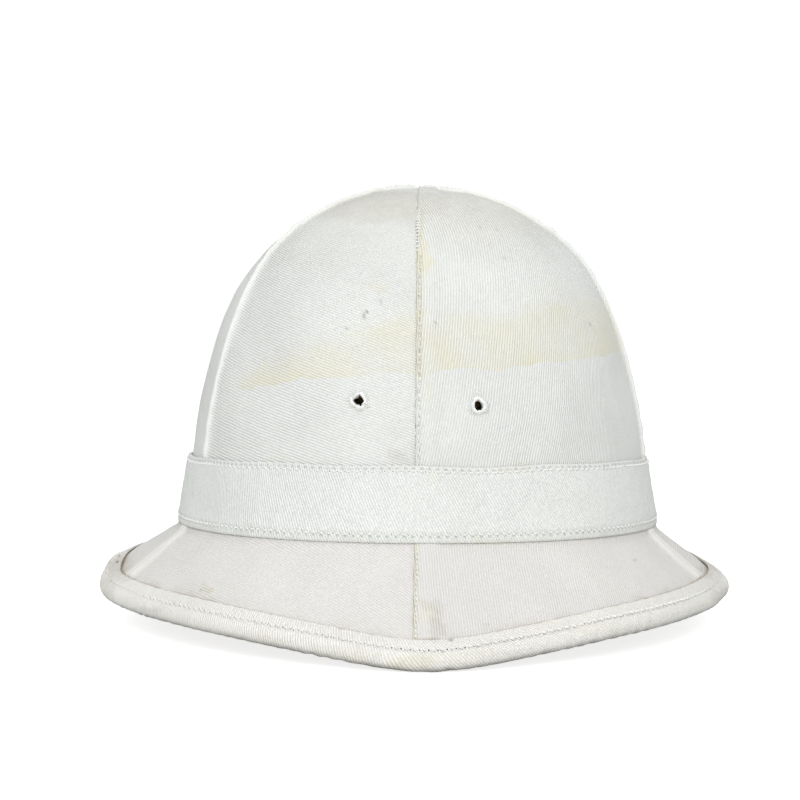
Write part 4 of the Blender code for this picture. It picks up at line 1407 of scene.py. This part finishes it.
for name, (_, grid, outwards), at_last, seed in (
    ("front", brim_sheets["front_right"], False, 93),
    ("back", brim_sheets["back_right"], True, 94),
):
    line, out = beside(grid, BRIM_STITCHES, at_last)
    plain = (outwards > 0.006) & (outwards < outwards[-1] - 0.0005)
    rows, pricks = row_stitches(
        line[plain], out[plain], 0.0026, share=0.6, radius=0.00028, slant=0.00030, lift=0.00026, seed=seed
    )
    stitch_piece(f"seam_stitches_brim_{name}", rows, white_thread, "twill")
    stitch_piece(f"seam_needle_marks_brim_{name}", pricks, faint_hole_shade, "twill")
for name, (_, grid, down), at_last, seed in (
    ("left", crown_sheets["front_left"], False, 95),
    ("right", crown_sheets["front_right"], True, 96),
):
    near_top = down > CROWN_ARC - WHIPPED_SIDE
    fold, _ = beside(grid, 0.0002, at_last)
    inner, out = beside(grid, 0.0011, at_last)
    rows = whip_stitches(fold[near_top], inner[near_top], out[near_top], 0.0030, 0.00040, 0.8, seed)
    rows += twisted_edge(inner[near_top] - 0.0005 * out[near_top], out[near_top], seed)
    stitch_piece(f"whip_stitches_{name}", rows, white_thread, "twill")


# ---- floor, light and camera


def area_light(name, place, target, width, height, power):
    data = bpy.data.lights.new(name, "AREA")
    data.shape = "RECTANGLE"
    data.size = width
    data.size_y = height
    data.energy = power
    light = placed(name, data)
    light.location = place
    light.rotation_euler = (Vector(target) - Vector(place)).to_track_quat("-Z", "Y").to_euler()


def floor():
    mesh = bpy.data.meshes.new("floor")
    half = 60.0
    corners = [(x * half, y * half, 0) for x, y in ((-1, -1), (1, -1), (1, 1), (-1, 1))]
    mesh.from_pydata(corners, [], [(0, 1, 2, 3)])
    obj = placed("floor", mesh)
    g = Graph("floor")
    g.shader.inputs["Base Color"].default_value = (0.82, 0.82, 0.82, 1.0)
    g.shader.inputs["Roughness"].default_value = 0.8
    g.shader.inputs["Specular IOR Level"].default_value = 0.1
    g.shader.inputs["Emission Color"].default_value = (1.0, 1.0, 1.0, 1.0)
    rays = g.nodes.new("ShaderNodeLightPath")
    glow = g.times(rays.outputs["Is Camera Ray"], 0.8)
    g.links.new(glow, g.shader.inputs["Emission Strength"])
    mesh.materials.append(g.material)


floor()
world = bpy.data.worlds.new("studio")
world.use_nodes = True
background = world.node_tree.nodes["Background"]
background.inputs[0].default_value = (0.976, 1.0, 0.984, 1.0)
world_rays = world.node_tree.nodes.new("ShaderNodeLightPath")
strength = world.node_tree.nodes.new("ShaderNodeMapRange")
strength.inputs["To Min"].default_value = 0.67
strength.inputs["To Max"].default_value = 1.05
world.node_tree.links.new(world_rays.outputs["Is Camera Ray"], strength.inputs["Value"])
world.node_tree.links.new(strength.outputs[0], background.inputs[1])
bpy.context.scene.world = world
area_light("key", (-0.10, -1.7, 0.80), (0.0, -0.05, 0.08), width=0.9, height=0.6, power=13.0)
area_light("top", (0.0, -0.3, 1.5), (0.0, 0.0, 0.05), width=1.0, height=1.0, power=5.0)

scene = bpy.context.scene
scene.view_settings.view_transform = "Standard"
camera_data = bpy.data.cameras.new("camera")
camera_data.sensor_width = SENSOR
camera_data.lens = FOCAL_PIXELS / PICTURE * SENSOR
camera_data.shift_x = -(SIGHT_U - PICTURE / 2) / PICTURE
camera_data.shift_y = (SIGHT_V - PICTURE / 2) / PICTURE
camera_data.clip_start = 0.05
camera = placed("camera", camera_data)
heading = Matrix.Rotation(math.radians(-CAMERA_HEADING), 4, "Z")
upright = Matrix.Rotation(math.radians(90), 4, "X")
roll = Matrix.Rotation(math.radians(CAMERA_ROLL), 4, "Z")
camera.matrix_world = Matrix.Translation(CAMERA_PLACE) @ heading @ upright @ roll
scene.camera = camera
